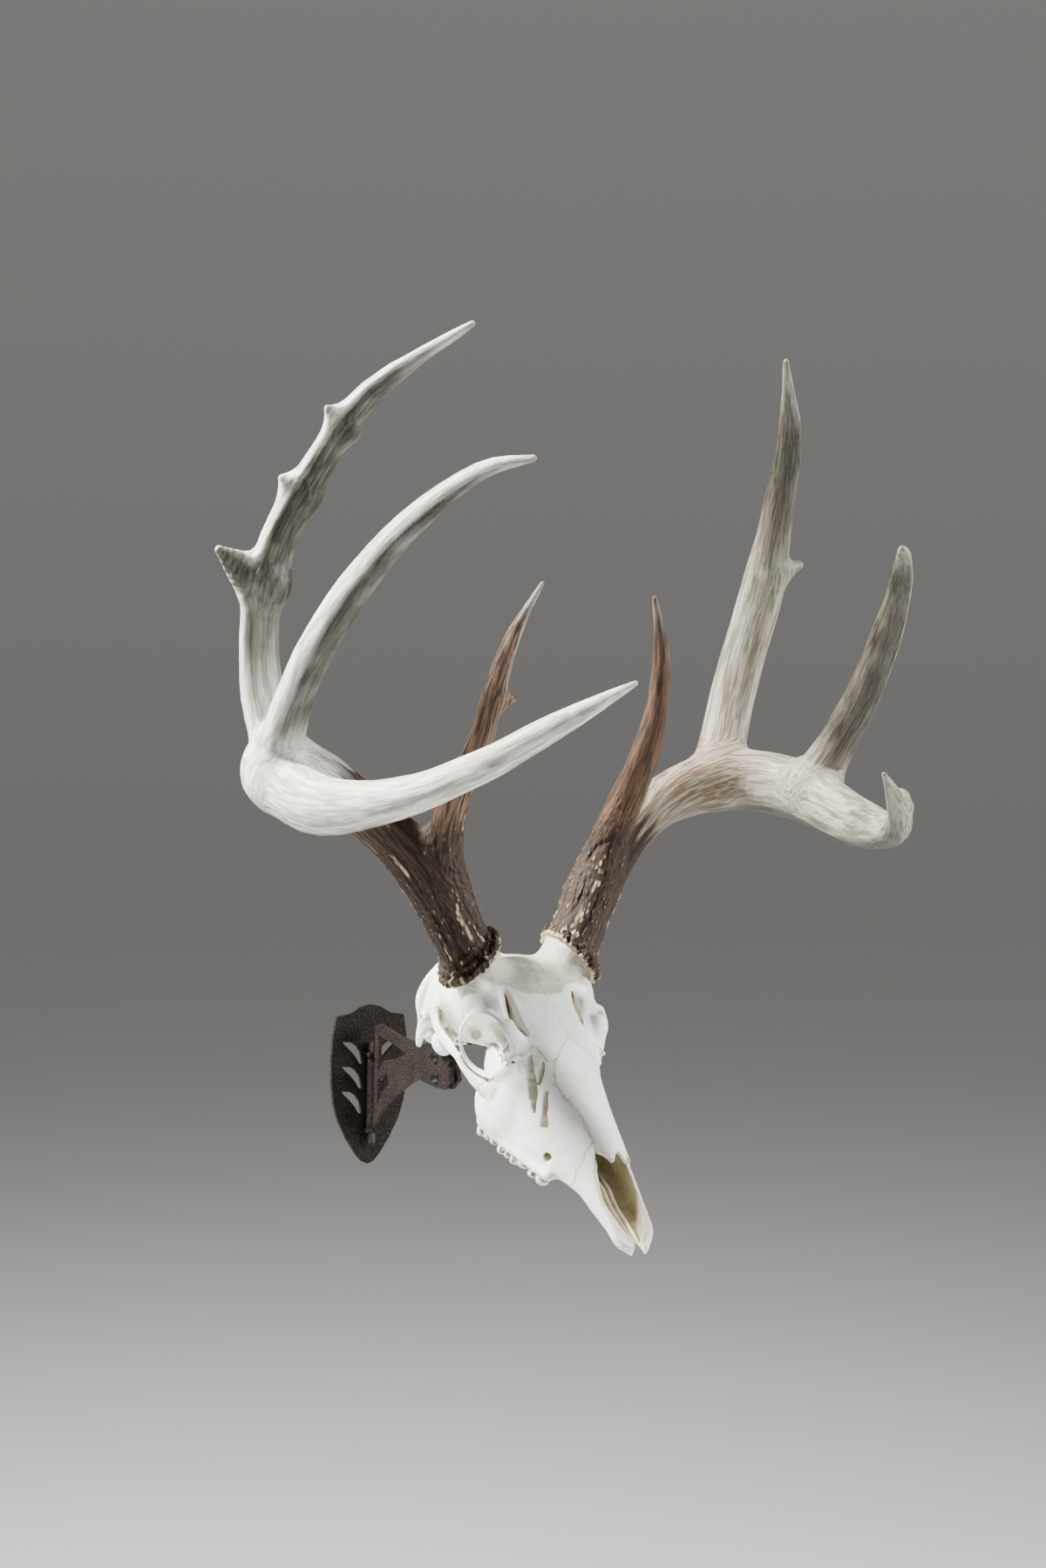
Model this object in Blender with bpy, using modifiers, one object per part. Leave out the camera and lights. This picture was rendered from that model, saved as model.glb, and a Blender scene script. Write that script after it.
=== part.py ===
"""Deer skull with antlers on a swivel wall bracket, life size, in metres, +Z up.

The wall is the plane y = 0 and the plate's back lies on it, centred on the origin.
The skull looks along -Y and hangs nose-down, and the deer's left is +X.
Skull and antlers are laid out in the skull's own frame in millimetres: x to the deer's
left, f forward from the back of the condyles, z up from the chewing line of the teeth.
"""
import math

import bmesh
import bpy
from mathutils import Matrix, Vector

# ---------------------------------------------------------------- driving dimensions, mm
MM = 0.001
GAP = 0.3                       # clearance between neighbouring pieces
SOCKET_GAP = 0.6                # clearance round a tine's curved root
SKULL_PITCH = math.radians(22.4)
SKULL_BACK = 112.0              # back of the condyles in front of the wall
SKULL_RISE = 40.0               # back of the condyles above the plate's centre
SIDES = {"R": -1, "L": 1}

VOXEL = 1.6                     # grid that fuses the skull's forms
SKULL_TRIANGLES = 2450          # triangles of the fused skull before it is cut

# The face: f, roof z, shoulder x z, side x z, foot x z, floor z
FACE_STATIONS = (
    (54, 104, 30, 98, 37, 76, 14, 52, 48),
    (78, 112, 41, 95, 34, 78, 13, 54, 50),
    (96, 108, 51, 86, 32, 72, 12, 46, 42),
    (112, 101, 46, 88, 30, 62, 12, 30, 24),
    (128, 94, 37, 82, 36, 52, 29, 14, 13),
    (146, 86, 26, 77, 38, 42, 35, 9, 12),
    (165, 77, 18, 70, 34, 32, 32, 8, 11),
    (185, 67, 15, 60, 29, 27, 27, 8, 11),
    (202, 59, 13, 52, 23, 24, 20, 9, 11),
    (220, 50, 12, 43, 18, 20, 15, 8, 9),
    (240, 37, 12, 32, 17.5, 16, 13.5, 4, 5),
    (258, 24, 12.5, 20, 16, 10.5, 12.5, 0.5, 2),
    (271, 11, 10, 9, 14.5, 5, 11, -3, -1),
    (280, 2, 5, 1, 8, -1, 6, -4.5, -2.5),
)
RING_STEPS = 4                  # points from one named corner of a face section to the next

# The nasal passage: f, half width, roof z, floor z
NASAL_PASSAGE = (
    (160, 6, 62, 30), (185, 8, 55, 24), (210, 11, 46, 17), (226, 13, 43, 12),
    (238, 14.2, 60, 8), (252, 11.8, 60, 5), (264, 6, 60, 2), (270, 1.6, 60, -20), (290, 1.2, 60, -20),
)

# The block that holds the nasal bones: its ends and half width, and its floor at the rear end
NASAL_REAR = 148
NASAL_TIP = 236
NASAL_HALF_WIDTH = 14
NASAL_REAR_FLOOR = 76
NASAL_SLOPE = 0.5               # fall of that floor for each mm forward
BLOCK_TOP = 200                 # height that clears the whole skull

# Rounded forms of the skull's left half: centre and radii
BRAINCASE = ((0, 44, 64), (38, 43, 32))
OCCIPUT = ((0, 18, 48), (34, 14, 36))
CONDYLE = ((13, 5, 20), (9, 9, 13))
EAR_CAPSULE = ((23, 34, 23), (7, 11, 9))
CHEEK = ((36, 133, 28), (9.5, 22, 21))
FORAMEN_MAGNUM = ((0, 8, 25), (9, 36, 10))

# Bony bars of the skull's left half: x f z, and two half thicknesses
SKULL_BASE = ((0, 5, 20, 8, 12), (0, 30, 28, 7, 12), (0, 62, 42, 7, 11), (0, 92, 52, 7, 9))
CHEEK_ARCH = (
    (43, 134, 38, 7, 4), (49, 121, 39, 7, 3), (54, 106, 43, 6, 3), (55, 92, 49, 5.5, 3),
    (53, 76, 53, 4.5, 3), (49, 60, 54, 4, 3), (44, 46, 54, 4.5, 3.5), (37, 33, 54, 6, 5),
)
POSTORBITAL_BAR = ((47, 92, 92, 9, 6), (55, 93, 80, 6, 3.5), (58, 94, 66, 4.5, 3), (56, 93, 50, 5, 3))
PEDICLE = ((24, 78, 86, 21, 20), (33, 73, 99, 20, 19), (39, 70, 107, 18.5, 18))
PAROCCIPITAL = ((30, 18, 34, 8, 4), (31, 15, 22, 5, 3), (29, 13, 11, 2.5, 2))
EAR_TUBE = ((30, 34, 40, 6, 6), (41, 30, 42, 4.5, 4.5))
NUCHAL_RIDGE = (
    (0, 10, 84, 4, 4), (14, 9, 80, 4, 4), (24, 8, 69, 4, 4), (31, 8, 57, 4, 4), (33, 9, 44, 4, 4),
    (29, 12, 30, 4, 3),
)
PTERYGOID = ((12, 78, 34, 12, 2.5), (13, 98, 26, 15, 2.5), (17, 118, 17, 10, 3))

ORBIT = (46, 117, 66)
ORBIT_RIM_RADIUS = 21.0
ORBIT_RIM_THICKNESS = 2.8
ORBIT_DEPTH = 27.0
ORBIT_YAW = math.radians(24)    # how far the socket turns forward from sideways

# The slits before the eyes and the groove over each eye: centre x f z, size, tilt in degrees
FACE_SLITS = (
    ((28, 160, 58), (15, 37, 4.5), -54),
    ((24, 162, 68), (13, 14, 3), -49),
    ((29, 180, 50), (13, 24, 4), -57),
    ((25, 118, 94), (3.2, 40, 12), -23),
)

# The blocks that part the skull: the height they span, and the f of each cut at top and bottom
REGION_Z = (-10, 130)
CUT_BEHIND_PEDICLES = (38, 96)
CUT_ACROSS_FACE = (168, 106)
CUT_SNOUT = (216, 216)
REGION_REAR = (-60, -60)        # beyond the skull's two ends
REGION_FRONT = (330, 330)
REGION_HALF_WIDTH = 90

TOOTH_ROW_FRONT = 197
TOOTH_ROW_X = (25, 34)          # the row's distance from the midline at its front and rear
TOOTH_Z = 7
TOOTH_HALF_HEIGHT = 8
TOOTH_LENGTHS = (9, 10, 10, 14, 16, 16)
TOOTH_WIDTHS = (8, 9, 10, 12, 13, 12)

# Antlers, right side: x outward, f forward, z up, half thickness upright, half thickness across
BEAM = (
    (39.5, 70, 107.5, 19, 19),
    (48, 63, 121, 19, 19),
    (69, 44, 155, 20, 18),
    (103, 21, 186, 18, 17),
    (142, 7, 208, 20.5, 17),
    (181, 9, 224, 23, 18),
    (208, 31, 234, 23, 17),
    (220, 72, 240, 22, 16),
    (216, 128, 246, 18.5, 14),
    (196, 177, 271, 13, 12),
    (167, 212, 306, 10, 9.5),
    (135, 234, 343, 7.5, 7),
    (98, 249, 377, 1.6, 1.6),
)
G2_FORK = 5                     # stations of the beam where the two upper tines grow
G3_FORK = 7
BROW_TINE = (
    (62, 50, 152, 15, 13),
    (69, 45, 190, 13.5, 12),
    (72, 50, 226, 12, 10.5),
    (69, 60, 262, 10.5, 9),
    (68, 61, 300, 8, 7.5),
    (61, 57, 342, 5, 5),
    (46, 54, 379, 1.4, 1.4),
)
G2_TINE = (
    (183, 8, 226, 19, 15),
    (197, -15, 265, 17.5, 13),
    (205, -26, 318, 17, 11.5),
    (204, -24, 372, 16, 11),
    (193, -15, 421, 12, 10.5),
    (173, 1, 480, 8.5, 8),
    (128, 30, 537, 1.8, 1.8),
)
G3_TINE = (
    (221, 70, 244, 20, 15),
    (226, 79, 285, 14.5, 12),
    (225, 92, 330, 12.5, 11.5),
    (216, 108, 379, 11.5, 10.5),
    (199, 128, 428, 9, 8.5),
    (174, 151, 469, 5.5, 5.5),
    (152, 171, 485, 2, 2),
)
# What the left antler's tips add to the right's in x, f and z, from which share of the length on
LEFT_TIPS = {
    "beam": ((1, 16, -45), 0.62),
    "brow": ((1, 1, -3), 0.38),
    "g2": ((-2, -1, 9), 0.38),
    "g3": ((-9, 5, -28), 0.3),
}
FLAT_YAW = math.radians(33)     # the tines' wide way, forward from straight outward
# Short points on the tines: root x f z, tip x f z, root radius, tip radius
SHORT_POINTS = {
    ("R", "g2"): (
        ((206, -25, 347), (242, -27, 360), 10, 2.5),
        ((196, -18, 407), (212, -20, 413), 9, 2),
        ((182, -6, 456), (196, -9, 464), 8, 2),
    ),
    ("R", "brow"): (((65, 60, 298), (53, 62, 299), 6, 2.5),),
    ("L", "g2"): (((208, -21, 384), (226, -16, 392), 10, 3.5),),
}
ANTLER_SIDES = 10
ANTLER_STEPS = 2
BURR_PROFILE = ((0, 18), (1.5, 25), (5, 27), (9, 23))      # height over the pedicle and radius
SEAT_RINGS = 5                  # rings of the beam that the skull is cut back from

# Bracket: y is the distance from the wall, z the height over the plate's centre
PLATE_THICK = 3.0
# The plate's right edge from its top to its foot: x z
PLATE_EDGE = (
    (0, 63), (9, 61), (18, 56), (30, 54), (33, 38), (34, 20), (33.5, 2), (31.5, -14), (27, -28), (19, -43),
    (10, -56), (5, -61), (0, -63),
)
SHEET = 3.0                     # thickness of the arm, its cheeks and the prong
SPINE_RADIUS = 4.5
SPINE_Y = 8.0
SPINE_Z = (-34, 22)
LUG_THICK = 3.0
LUG_WIDTH = 10.8
PIVOT_HEAD = (3.2, 8)           # radius and height of the pins' heads
PIVOT_SHANK_RADIUS = 2.0
PIVOT_DEPTH = 5.0               # depth of a pin in the spine
PIVOT_SIDES = 12
ARM_OUTLINE = (
    (13, 47), (20, 49), (50, 43), (73, 40), (86, 39), (101, 43), (101, 11),
    (97, 12), (82, 13), (69, 8), (43, -6), (28, -16), (13, -33),
)
ARM_WINDOWS = (
    ((19, 40), (44, 35), (63, 30), (48, 25), (28, 21), (19, 12)),
    ((19, 5), (32, 12), (37, 5), (26, -4), (19, -14)),
)
CHEEK_OUTLINE = (
    (90, 39), (103, 44), (115, 40), (132, 33), (130, 29), (135, 18), (125, 10), (112, 10), (97, 12),
    (90, 13),
)
PRONG_OUTLINE = (
    (105, 13), (131, 13), (131, 32), (112, 40), (107, 48), (107, 64), (153, 46), (156, 53),
    (108, 74), (99, 70), (98, 50), (105, 40),
)
SLOT_TOPS = (34, 14.5, -5)
# A crescent slot that curls down toward the plate's middle: x, z under its top
SLOT = (
    (25, 0), (17, -0.6), (11.8, -3.8), (8.2, -9), (6.4, -18), (9, -18), (12.5, -12.6), (17.2, -7.4),
    (22.6, -2.6),
)
BOLT_PLACES = ((112, 33), (113, 18))
BOLT_HEAD_RADIUS = 4.2
BOLT_CROWN_RADIUS = 2.6         # the flat on the domed head
BOLT_HEAD_HEIGHT = 2.6
BOLT_SHANK_RADIUS = 2.5
NUT_HEIGHT = 3.5
NUT_SIDES = 6
ROUND_SIDES = 16
OVERLAP = 1.0                   # depth by which fused solids enter each other
THROUGH = 20.0                  # half length of a drill that goes right through

FINISHES = {
    "bone": ((0.86, 0.84, 0.76), 0.6, 0.0),
    "antler_base": ((0.20, 0.12, 0.07), 0.7, 0.0),
    "antler_ivory": ((0.66, 0.62, 0.52), 0.55, 0.0),
    "brown_powder_coat": ((0.055, 0.04, 0.033), 0.6, 0.0),
    "black_bolt": ((0.015, 0.015, 0.017), 0.3, 0.6),
    "steel_screw": ((0.35, 0.32, 0.27), 0.4, 1.0),
}


# ---------------------------------------------------------------- scene
def clear_scene():
    for obj in list(bpy.data.objects):
        bpy.data.objects.remove(obj, do_unlink=True)


def new_collection(name):
    collection = bpy.data.collections.new(name)
    bpy.context.scene.collection.children.link(collection)
    return collection


clear_scene()
PARTS = new_collection("deer_skull")
CUTTERS = new_collection("cutters")
CUTTERS.hide_render = True


def make_material(name, color, roughness, metallic):
    material = bpy.data.materials.new(name)
    material.use_nodes = True
    shader = material.node_tree.nodes["Principled BSDF"]
    shader.inputs["Base Color"].default_value = (*color, 1.0)
    shader.inputs["Roughness"].default_value = roughness
    shader.inputs["Metallic"].default_value = metallic
    return material


MATERIALS = {name: make_material(name, *finish) for name, finish in FINISHES.items()}


def skull_to_world():
    """From the skull's frame (x, f, z in mm) to the world in metres."""
    metres = Matrix.Diagonal((MM, MM, MM, 1))
    place = Matrix.Translation((0, -SKULL_BACK, SKULL_RISE))
    forward_is_minus_y = Matrix.Diagonal((1, -1, 1, 1))
    return metres @ place @ Matrix.Rotation(SKULL_PITCH, 4, "X") @ forward_is_minus_y


SKULL = skull_to_world()


# ---------------------------------------------------------------- shapes
def link_mesh(name, bm, collection):
    """Close off a bmesh as an object with its faces turned outward."""
    bmesh.ops.recalc_face_normals(bm, faces=bm.faces)
    mesh = bpy.data.meshes.new(name)
    bm.to_mesh(mesh)
    bm.free()
    obj = bpy.data.objects.new(name, mesh)
    collection.objects.link(obj)
    return obj


def as_cutter(obj):
    obj.display_type = "WIRE"
    obj.hide_render = True
    return obj


def smooth_line(points, steps, closed=False):
    """Catmull-Rom points through the given vectors, so many steps to a span."""
    count = len(points)

    def at(index):
        return points[index % count] if closed else points[min(max(index, 0), count - 1)]

    line = []
    for index in range(count if closed else count - 1):
        a, b, c, d = (at(index + k) for k in (-1, 0, 1, 2))
        for step in range(steps):
            t = step / steps
            line.append(
                0.5 * (2 * b + t * (c - a) + t * t * (2 * a - 5 * b + 4 * c - d)
                       + t ** 3 * (3 * b - a - 3 * c + d))
            )
    if not closed:
        line.append(points[-1].copy())
    return line


def loft(name, rings, collection=CUTTERS):
    """Skin a row of rings with equal point counts, given in world metres."""
    bm = bmesh.new()
    rows = [[bm.verts.new(point) for point in ring] for ring in rings]
    for near, far in zip(rows, rows[1:]):
        for i in range(len(near)):
            j = (i + 1) % len(near)
            bm.faces.new((near[i], near[j], far[j], far[i]))
    bm.faces.new(rows[0])
    bm.faces.new(rows[-1])
    return link_mesh(name, bm, collection)


def sweep(name, line, wide, sides=ANTLER_SIDES, grow=0.0, span=None, collection=CUTTERS):
    """A tube through rows (x, f, z, half along `wide`, half across it) of the skull's frame.

    A span builds only the length from one row to another, and stands back half a gap
    from wherever it cuts the line.
    """
    centres = [Vector(row[:3]) for row in line]
    last = len(line) - 1
    first_ring, last_ring = span or (0, last)
    rings = []
    for index in range(first_ring, last_ring + 1):
        row = line[index]
        along = (centres[min(index + 1, last)] - centres[max(index - 1, 0)]).normalized()
        across_wide = (wide - along * wide.dot(along)).normalized()
        across_thin = along.cross(across_wide)
        centre = centres[index]
        if index == first_ring > 0:
            centre = centre + along * (GAP / 2)
        elif index == last_ring < last:
            centre = centre - along * (GAP / 2)
        ring = []
        for k in range(sides):
            angle = 2 * math.pi * k / sides
            offset = across_wide * ((row[3] + grow) * math.cos(angle))
            offset += across_thin * ((row[4] + grow) * math.sin(angle))
            ring.append(SKULL @ (centre + offset))
        rings.append(ring)
    return loft(name, rings, collection)


def ellipsoid(name, centre, radii, turn=0.0, segments=32, rings=20):
    """An ellipsoid of the skull's frame, turned about z."""
    bm = bmesh.new()
    shape = Matrix.Translation(centre) @ Matrix.Rotation(turn, 4, "Z") @ Matrix.Diagonal((*radii, 1))
    bmesh.ops.create_uvsphere(bm, u_segments=segments, v_segments=rings, radius=1, matrix=SKULL @ shape)
    return link_mesh(name, bm, CUTTERS)


def block(name, centre, size, tilt):
    """A box of the skull's frame, tilted about x."""
    bm = bmesh.new()
    shape = Matrix.Translation(centre) @ Matrix.Rotation(tilt, 4, "X") @ Matrix.Diagonal((*size, 1))
    bmesh.ops.create_cube(bm, size=1, matrix=SKULL @ shape)
    return link_mesh(name, bm, CUTTERS)


def ring_torus(name, matrix, radius, thickness):
    bpy.ops.mesh.primitive_torus_add(
        major_radius=radius, minor_radius=thickness, major_segments=40, minor_segments=10
    )
    obj = bpy.context.active_object
    obj.name = name
    obj.data.transform(matrix)
    for collection in list(obj.users_collection):
        collection.objects.unlink(obj)
    CUTTERS.objects.link(obj)
    return obj


# ---------------------------------------------------------------- joining and cutting
def boolean(obj, other, operation="DIFFERENCE"):
    modifier = obj.modifiers.new(other.name, "BOOLEAN")
    modifier.operation = operation
    modifier.solver = "EXACT"
    modifier.object = other
    as_cutter(other)


def keep_largest_piece(mesh):
    """Drop the slivers that a cut leaves beside the piece itself."""
    bm = bmesh.new()
    bm.from_mesh(mesh)
    bm.verts.ensure_lookup_table()
    unseen = set(bm.verts)
    pieces = []
    while unseen:
        piece = {unseen.pop()}
        edge_of_piece = list(piece)
        while edge_of_piece:
            vert = edge_of_piece.pop()
            for edge in vert.link_edges:
                neighbour = edge.other_vert(vert)
                if neighbour in unseen:
                    unseen.discard(neighbour)
                    piece.add(neighbour)
                    edge_of_piece.append(neighbour)
        pieces.append(piece)
    largest = max(pieces, key=len)
    bmesh.ops.delete(bm, geom=[vert for vert in bm.verts if vert not in largest], context="VERTS")
    bm.to_mesh(mesh)
    bm.free()


def bake(obj):
    """Apply the modifiers and keep the one solid that they leave."""
    graph = bpy.context.evaluated_depsgraph_get()
    mesh = bpy.data.meshes.new_from_object(obj.evaluated_get(graph))
    obj.modifiers.clear()
    obj.data = mesh
    keep_largest_piece(mesh)
    return obj


def copy_of(obj, name):
    twin = bpy.data.objects.new(name, obj.data.copy())
    CUTTERS.objects.link(twin)
    return twin


def hand_in(obj, name, finish):
    """Move a finished solid into the object's own collection, as one named node."""
    for collection in list(obj.users_collection):
        collection.objects.unlink(obj)
    PARTS.objects.link(obj)
    obj.name = name
    obj.data.name = name
    obj.hide_render = False
    obj.display_type = "TEXTURED"
    obj.data.materials.clear()
    obj.data.materials.append(MATERIALS[finish])
    return obj


def merge_objects(name, objects):
    """One object that holds the meshes of all, which may still overlap."""
    bm = bmesh.new()
    for obj in objects:
        bm.from_mesh(obj.data)
        bpy.data.objects.remove(obj, do_unlink=True)
    mesh = bpy.data.meshes.new(name)
    bm.to_mesh(mesh)
    bm.free()
    merged = bpy.data.objects.new(name, mesh)
    CUTTERS.objects.link(merged)
    return merged


# ---------------------------------------------------------------- skull
def face_form():
    """The face and forehead as one loft of named sections."""
    rings = []
    for f, roof, shoulder_x, shoulder_z, side_x, side_z, foot_x, foot_z, floor in FACE_STATIONS:
        half = ((shoulder_x, shoulder_z), (side_x, side_z), (foot_x, foot_z))
        corners = [(0, roof), *half, (0, floor), *((-x, z) for x, z in reversed(half))]
        outline = smooth_line([Vector(corner) for corner in corners], RING_STEPS, closed=True)
        rings.append([SKULL @ Vector((point.x, f, point.y)) for point in outline])
    return loft("face_form", rings)


def rod(name, rows, side=1, wide=Vector((0, 0, 1)), sides=12, steps=3):
    """A bony bar through rows (x, f, z, half height, half width), on either side of the head."""
    points = [Vector((side * row[0], *row[1:])) for row in rows]
    return sweep(name, smooth_line(points, steps), wide, sides)


def paired_ellipsoid(name, form, side):
    (x, *rest), radii = form
    return ellipsoid(name, (side * x, *rest), radii)


def orbit_rim(side):
    socket = Matrix.Translation((side * ORBIT[0], ORBIT[1], ORBIT[2]))
    turn = Matrix.Rotation(side * ORBIT_YAW, 4, "Z") @ Matrix.Rotation(math.pi / 2, 4, "Y")
    return ring_torus("orbit_rim", SKULL @ socket @ turn, ORBIT_RIM_RADIUS, ORBIT_RIM_THICKNESS)


def tooth_row(side):
    front, row_length = TOOTH_ROW_FRONT, sum(TOOTH_LENGTHS)
    front_x, rear_x = TOOTH_ROW_X
    teeth = []
    for length, width in zip(TOOTH_LENGTHS, TOOTH_WIDTHS):
        middle = front - length / 2
        out = front_x + (rear_x - front_x) * (TOOTH_ROW_FRONT - middle) / row_length
        radii = (width / 2, length / 2 + 0.5, TOOTH_HALF_HEIGHT)
        teeth.append(ellipsoid("tooth", (side * out, middle, TOOTH_Z), radii))
        front -= length
    return teeth


def paired_forms(side):
    """The forms that the head has once on each side."""
    forward = Vector((0, 1, 0))
    return [
        rod("cheek_arch", CHEEK_ARCH, side),
        rod("postorbital_bar", POSTORBITAL_BAR, side, wide=forward),
        rod("pedicle", PEDICLE, side, wide=forward, sides=20),
        rod("paroccipital", PAROCCIPITAL, side, wide=forward),
        rod("ear_tube", EAR_TUBE, side, steps=1),
        rod("nuchal_ridge", NUCHAL_RIDGE, side, wide=forward),
        rod("pterygoid", PTERYGOID, side),
        paired_ellipsoid("condyle", CONDYLE, side),
        paired_ellipsoid("ear_capsule", EAR_CAPSULE, side),
        paired_ellipsoid("cheek", CHEEK, side),
        orbit_rim(side),
        *tooth_row(side),
    ]


def fused_skull():
    """All the forms grown into one closed skin."""
    forms = [
        face_form(),
        ellipsoid("braincase", *BRAINCASE),
        ellipsoid("occiput", *OCCIPUT),
        rod("skull_base", SKULL_BASE),
    ]
    for side in SIDES.values():
        forms += paired_forms(side)
    skull = merge_objects("skull", forms)
    remesh = skull.modifiers.new("fuse", "REMESH")
    remesh.mode = "VOXEL"
    remesh.voxel_size = VOXEL * MM
    smooth = skull.modifiers.new("smooth", "SMOOTH")
    smooth.factor = 0.5
    smooth.iterations = 2
    bake(skull)
    triangles = 2 * len(skull.data.polygons)
    thin = skull.modifiers.new("thin", "DECIMATE")
    thin.ratio = SKULL_TRIANGLES / triangles
    return bake(skull)


def passage_ring(f, half_width, roof, floor):
    corners = ((half_width, floor), (half_width, roof), (-half_width, roof), (-half_width, floor))
    return [SKULL @ Vector((x, f, z)) for x, z in corners]


def open_skull(skull):
    """Cut the eye sockets, the nasal passage, the foramen magnum and the slits by the eyes."""
    boolean(skull, loft("nasal_passage", [passage_ring(*station) for station in NASAL_PASSAGE]))
    boolean(skull, ellipsoid("foramen_magnum", *FORAMEN_MAGNUM, segments=16, rings=10))
    for side in SIDES.values():
        radius = ORBIT_RIM_RADIUS - ORBIT_RIM_THICKNESS
        centre = (side * (ORBIT[0] + 2), ORBIT[1] + 1, ORBIT[2])
        radii = (ORBIT_DEPTH, radius, radius)
        boolean(skull, ellipsoid("eye_socket", centre, radii, side * ORBIT_YAW, 18, 12))
        seat = burr_line(antler_line(BEAM, side, "beam"), lift=0)
        boolean(skull, sweep("antler_seat", seat, Vector((0, 0, 1)), grow=GAP, span=(0, SEAT_RINGS)))
        for centre, size, tilt in FACE_SLITS:
            boolean(skull, block("face_slit", (side * centre[0], *centre[1:]), size, math.radians(tilt)))
    return bake(skull)


def region(rear, front, x_span=(-REGION_HALF_WIDTH, REGION_HALF_WIDTH)):
    """A six-sided block of the skull's frame. Each of its ends is the f at the top and at the bottom."""
    low, high = REGION_Z
    rings = []
    for top_f, bottom_f in (rear, front):
        rings.append([SKULL @ Vector(corner) for corner in (
            (x_span[0], bottom_f, low), (x_span[1], bottom_f, low),
            (x_span[1], top_f, high), (x_span[0], top_f, high),
        )])
    return loft("region", rings)


def nasal_strip(grow):
    """The slanting block that holds the nasal bones, wider by `grow` all round."""
    half = NASAL_HALF_WIDTH + grow
    rings = []
    for f in (NASAL_REAR - grow, REGION_FRONT[0]):
        low = NASAL_REAR_FLOOR - grow - (f - NASAL_REAR + grow) * NASAL_SLOPE
        corners = ((-half, low), (half, low), (half, BLOCK_TOP), (-half, BLOCK_TOP))
        rings.append([SKULL @ Vector((x, f, z)) for x, z in corners])
    return loft("nasal_strip", rings)


def skull_nodes():
    skull = open_skull(fused_skull())
    half = GAP / 2

    def ahead(plane):
        return tuple(f + half for f in plane)

    def behind(plane):
        return tuple(f - half for f in plane)

    spans = {
        "braincase": (region(REGION_REAR, behind(CUT_BEHIND_PEDICLES)), False),
        "frontal": (region(ahead(CUT_BEHIND_PEDICLES), behind(CUT_ACROSS_FACE)), False),
    }
    for letter, side in SIDES.items():
        x_span = (half, REGION_HALF_WIDTH) if side > 0 else (-REGION_HALF_WIDTH, -half)
        spans["maxilla_" + letter] = (region(ahead(CUT_ACROSS_FACE), behind(CUT_SNOUT), x_span), True)
        spans["premaxilla_" + letter] = (region(ahead(CUT_SNOUT), REGION_FRONT, x_span), True)
    for name, (cutter, beside_nasals) in spans.items():
        piece = copy_of(skull, name + "_solid")
        boolean(piece, cutter, "INTERSECT")
        if beside_nasals:
            boolean(piece, nasal_strip(half))
        hand_in(bake(piece), name, "bone")
    nasals = copy_of(skull, "nasals_solid")
    boolean(nasals, nasal_strip(-half), "INTERSECT")
    boolean(nasals, region(ahead(CUT_ACROSS_FACE), (NASAL_TIP, NASAL_TIP)), "INTERSECT")
    hand_in(bake(nasals), "nasals", "bone")
    bpy.data.objects.remove(skull, do_unlink=True)


# ---------------------------------------------------------------- antlers
def antler_line(rows, side, kind):
    """The stations of a beam or tine on one side, with the left one's own tip."""
    shift, start = LEFT_TIPS[kind] if side > 0 else ((0, 0, 0), 0)
    points = []
    for index, row in enumerate(rows):
        run = max(index / (len(rows) - 1) - start, 0) / (1 - start)
        share = run * run * (3 - 2 * run)
        moved = [value + share * offset for value, offset in zip(row, (*shift, 0, 0))]
        points.append(Vector((side * moved[0], *moved[1:])))
    return smooth_line(points, ANTLER_STEPS)


def burr_line(line, lift=GAP):
    """The beam's first stations widened into the burr, the knobbly ring that sits on the pedicle."""
    base, above = line[0], line[ANTLER_STEPS]
    away = (Vector(above[:3]) - Vector(base[:3])).normalized()
    burr = []
    for height, radius in BURR_PROFILE:
        centre = Vector(base[:3]) + away * (height + (lift if height == 0 else GAP))
        burr.append(Vector((*centre, radius, radius)))
    return burr + line[ANTLER_STEPS:]


def short_point(side, root, tip, root_radius, tip_radius):
    """A short point on the side of a tine."""
    rows = [
        Vector((side * x, f, z, radius, radius))
        for (x, f, z), radius in ((root, root_radius), (tip, tip_radius))
    ]
    return sweep("short_point", rows, Vector((0, 0, 1)), 8)


def antler_nodes(letter, side):
    up = Vector((0, 0, 1))
    flat = Vector((side * math.cos(FLAT_YAW), math.sin(FLAT_YAW), 0))
    beam = burr_line(antler_line(BEAM, side, "beam"))
    burr_rows = len(beam) - 1 - (len(BEAM) - 1) * ANTLER_STEPS
    g2_at, g3_at = (burr_rows + fork * ANTLER_STEPS for fork in (G2_FORK, G3_FORK))
    spans = {
        "base": ((0, g2_at), "antler_base"),
        "beam_mid": ((g2_at, g3_at), "antler_ivory"),
        "beam_tip": ((g3_at, len(beam) - 1), "antler_ivory"),
    }
    for part, (span, finish) in spans.items():
        name = f"antler_{letter}_{part}"
        hand_in(sweep(name, beam, up, span=span), name, finish)
    tines = (
        ("brow_tine", BROW_TINE, "brow", "antler_base"),
        ("g2_tine", G2_TINE, "g2", "antler_ivory"),
        ("g3_tine", G3_TINE, "g3", "antler_ivory"),
    )
    for part, rows, kind, finish in tines:
        name = f"antler_{letter}_{part}"
        tine = sweep(name + "_whole", antler_line(rows, side, kind), flat)
        for spike in SHORT_POINTS.get((letter, kind), ()):
            boolean(tine, short_point(side, *spike), "UNION")
        boolean(tine, sweep("socket", beam, up, grow=SOCKET_GAP))
        hand_in(bake(tine), name, finish)


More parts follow.
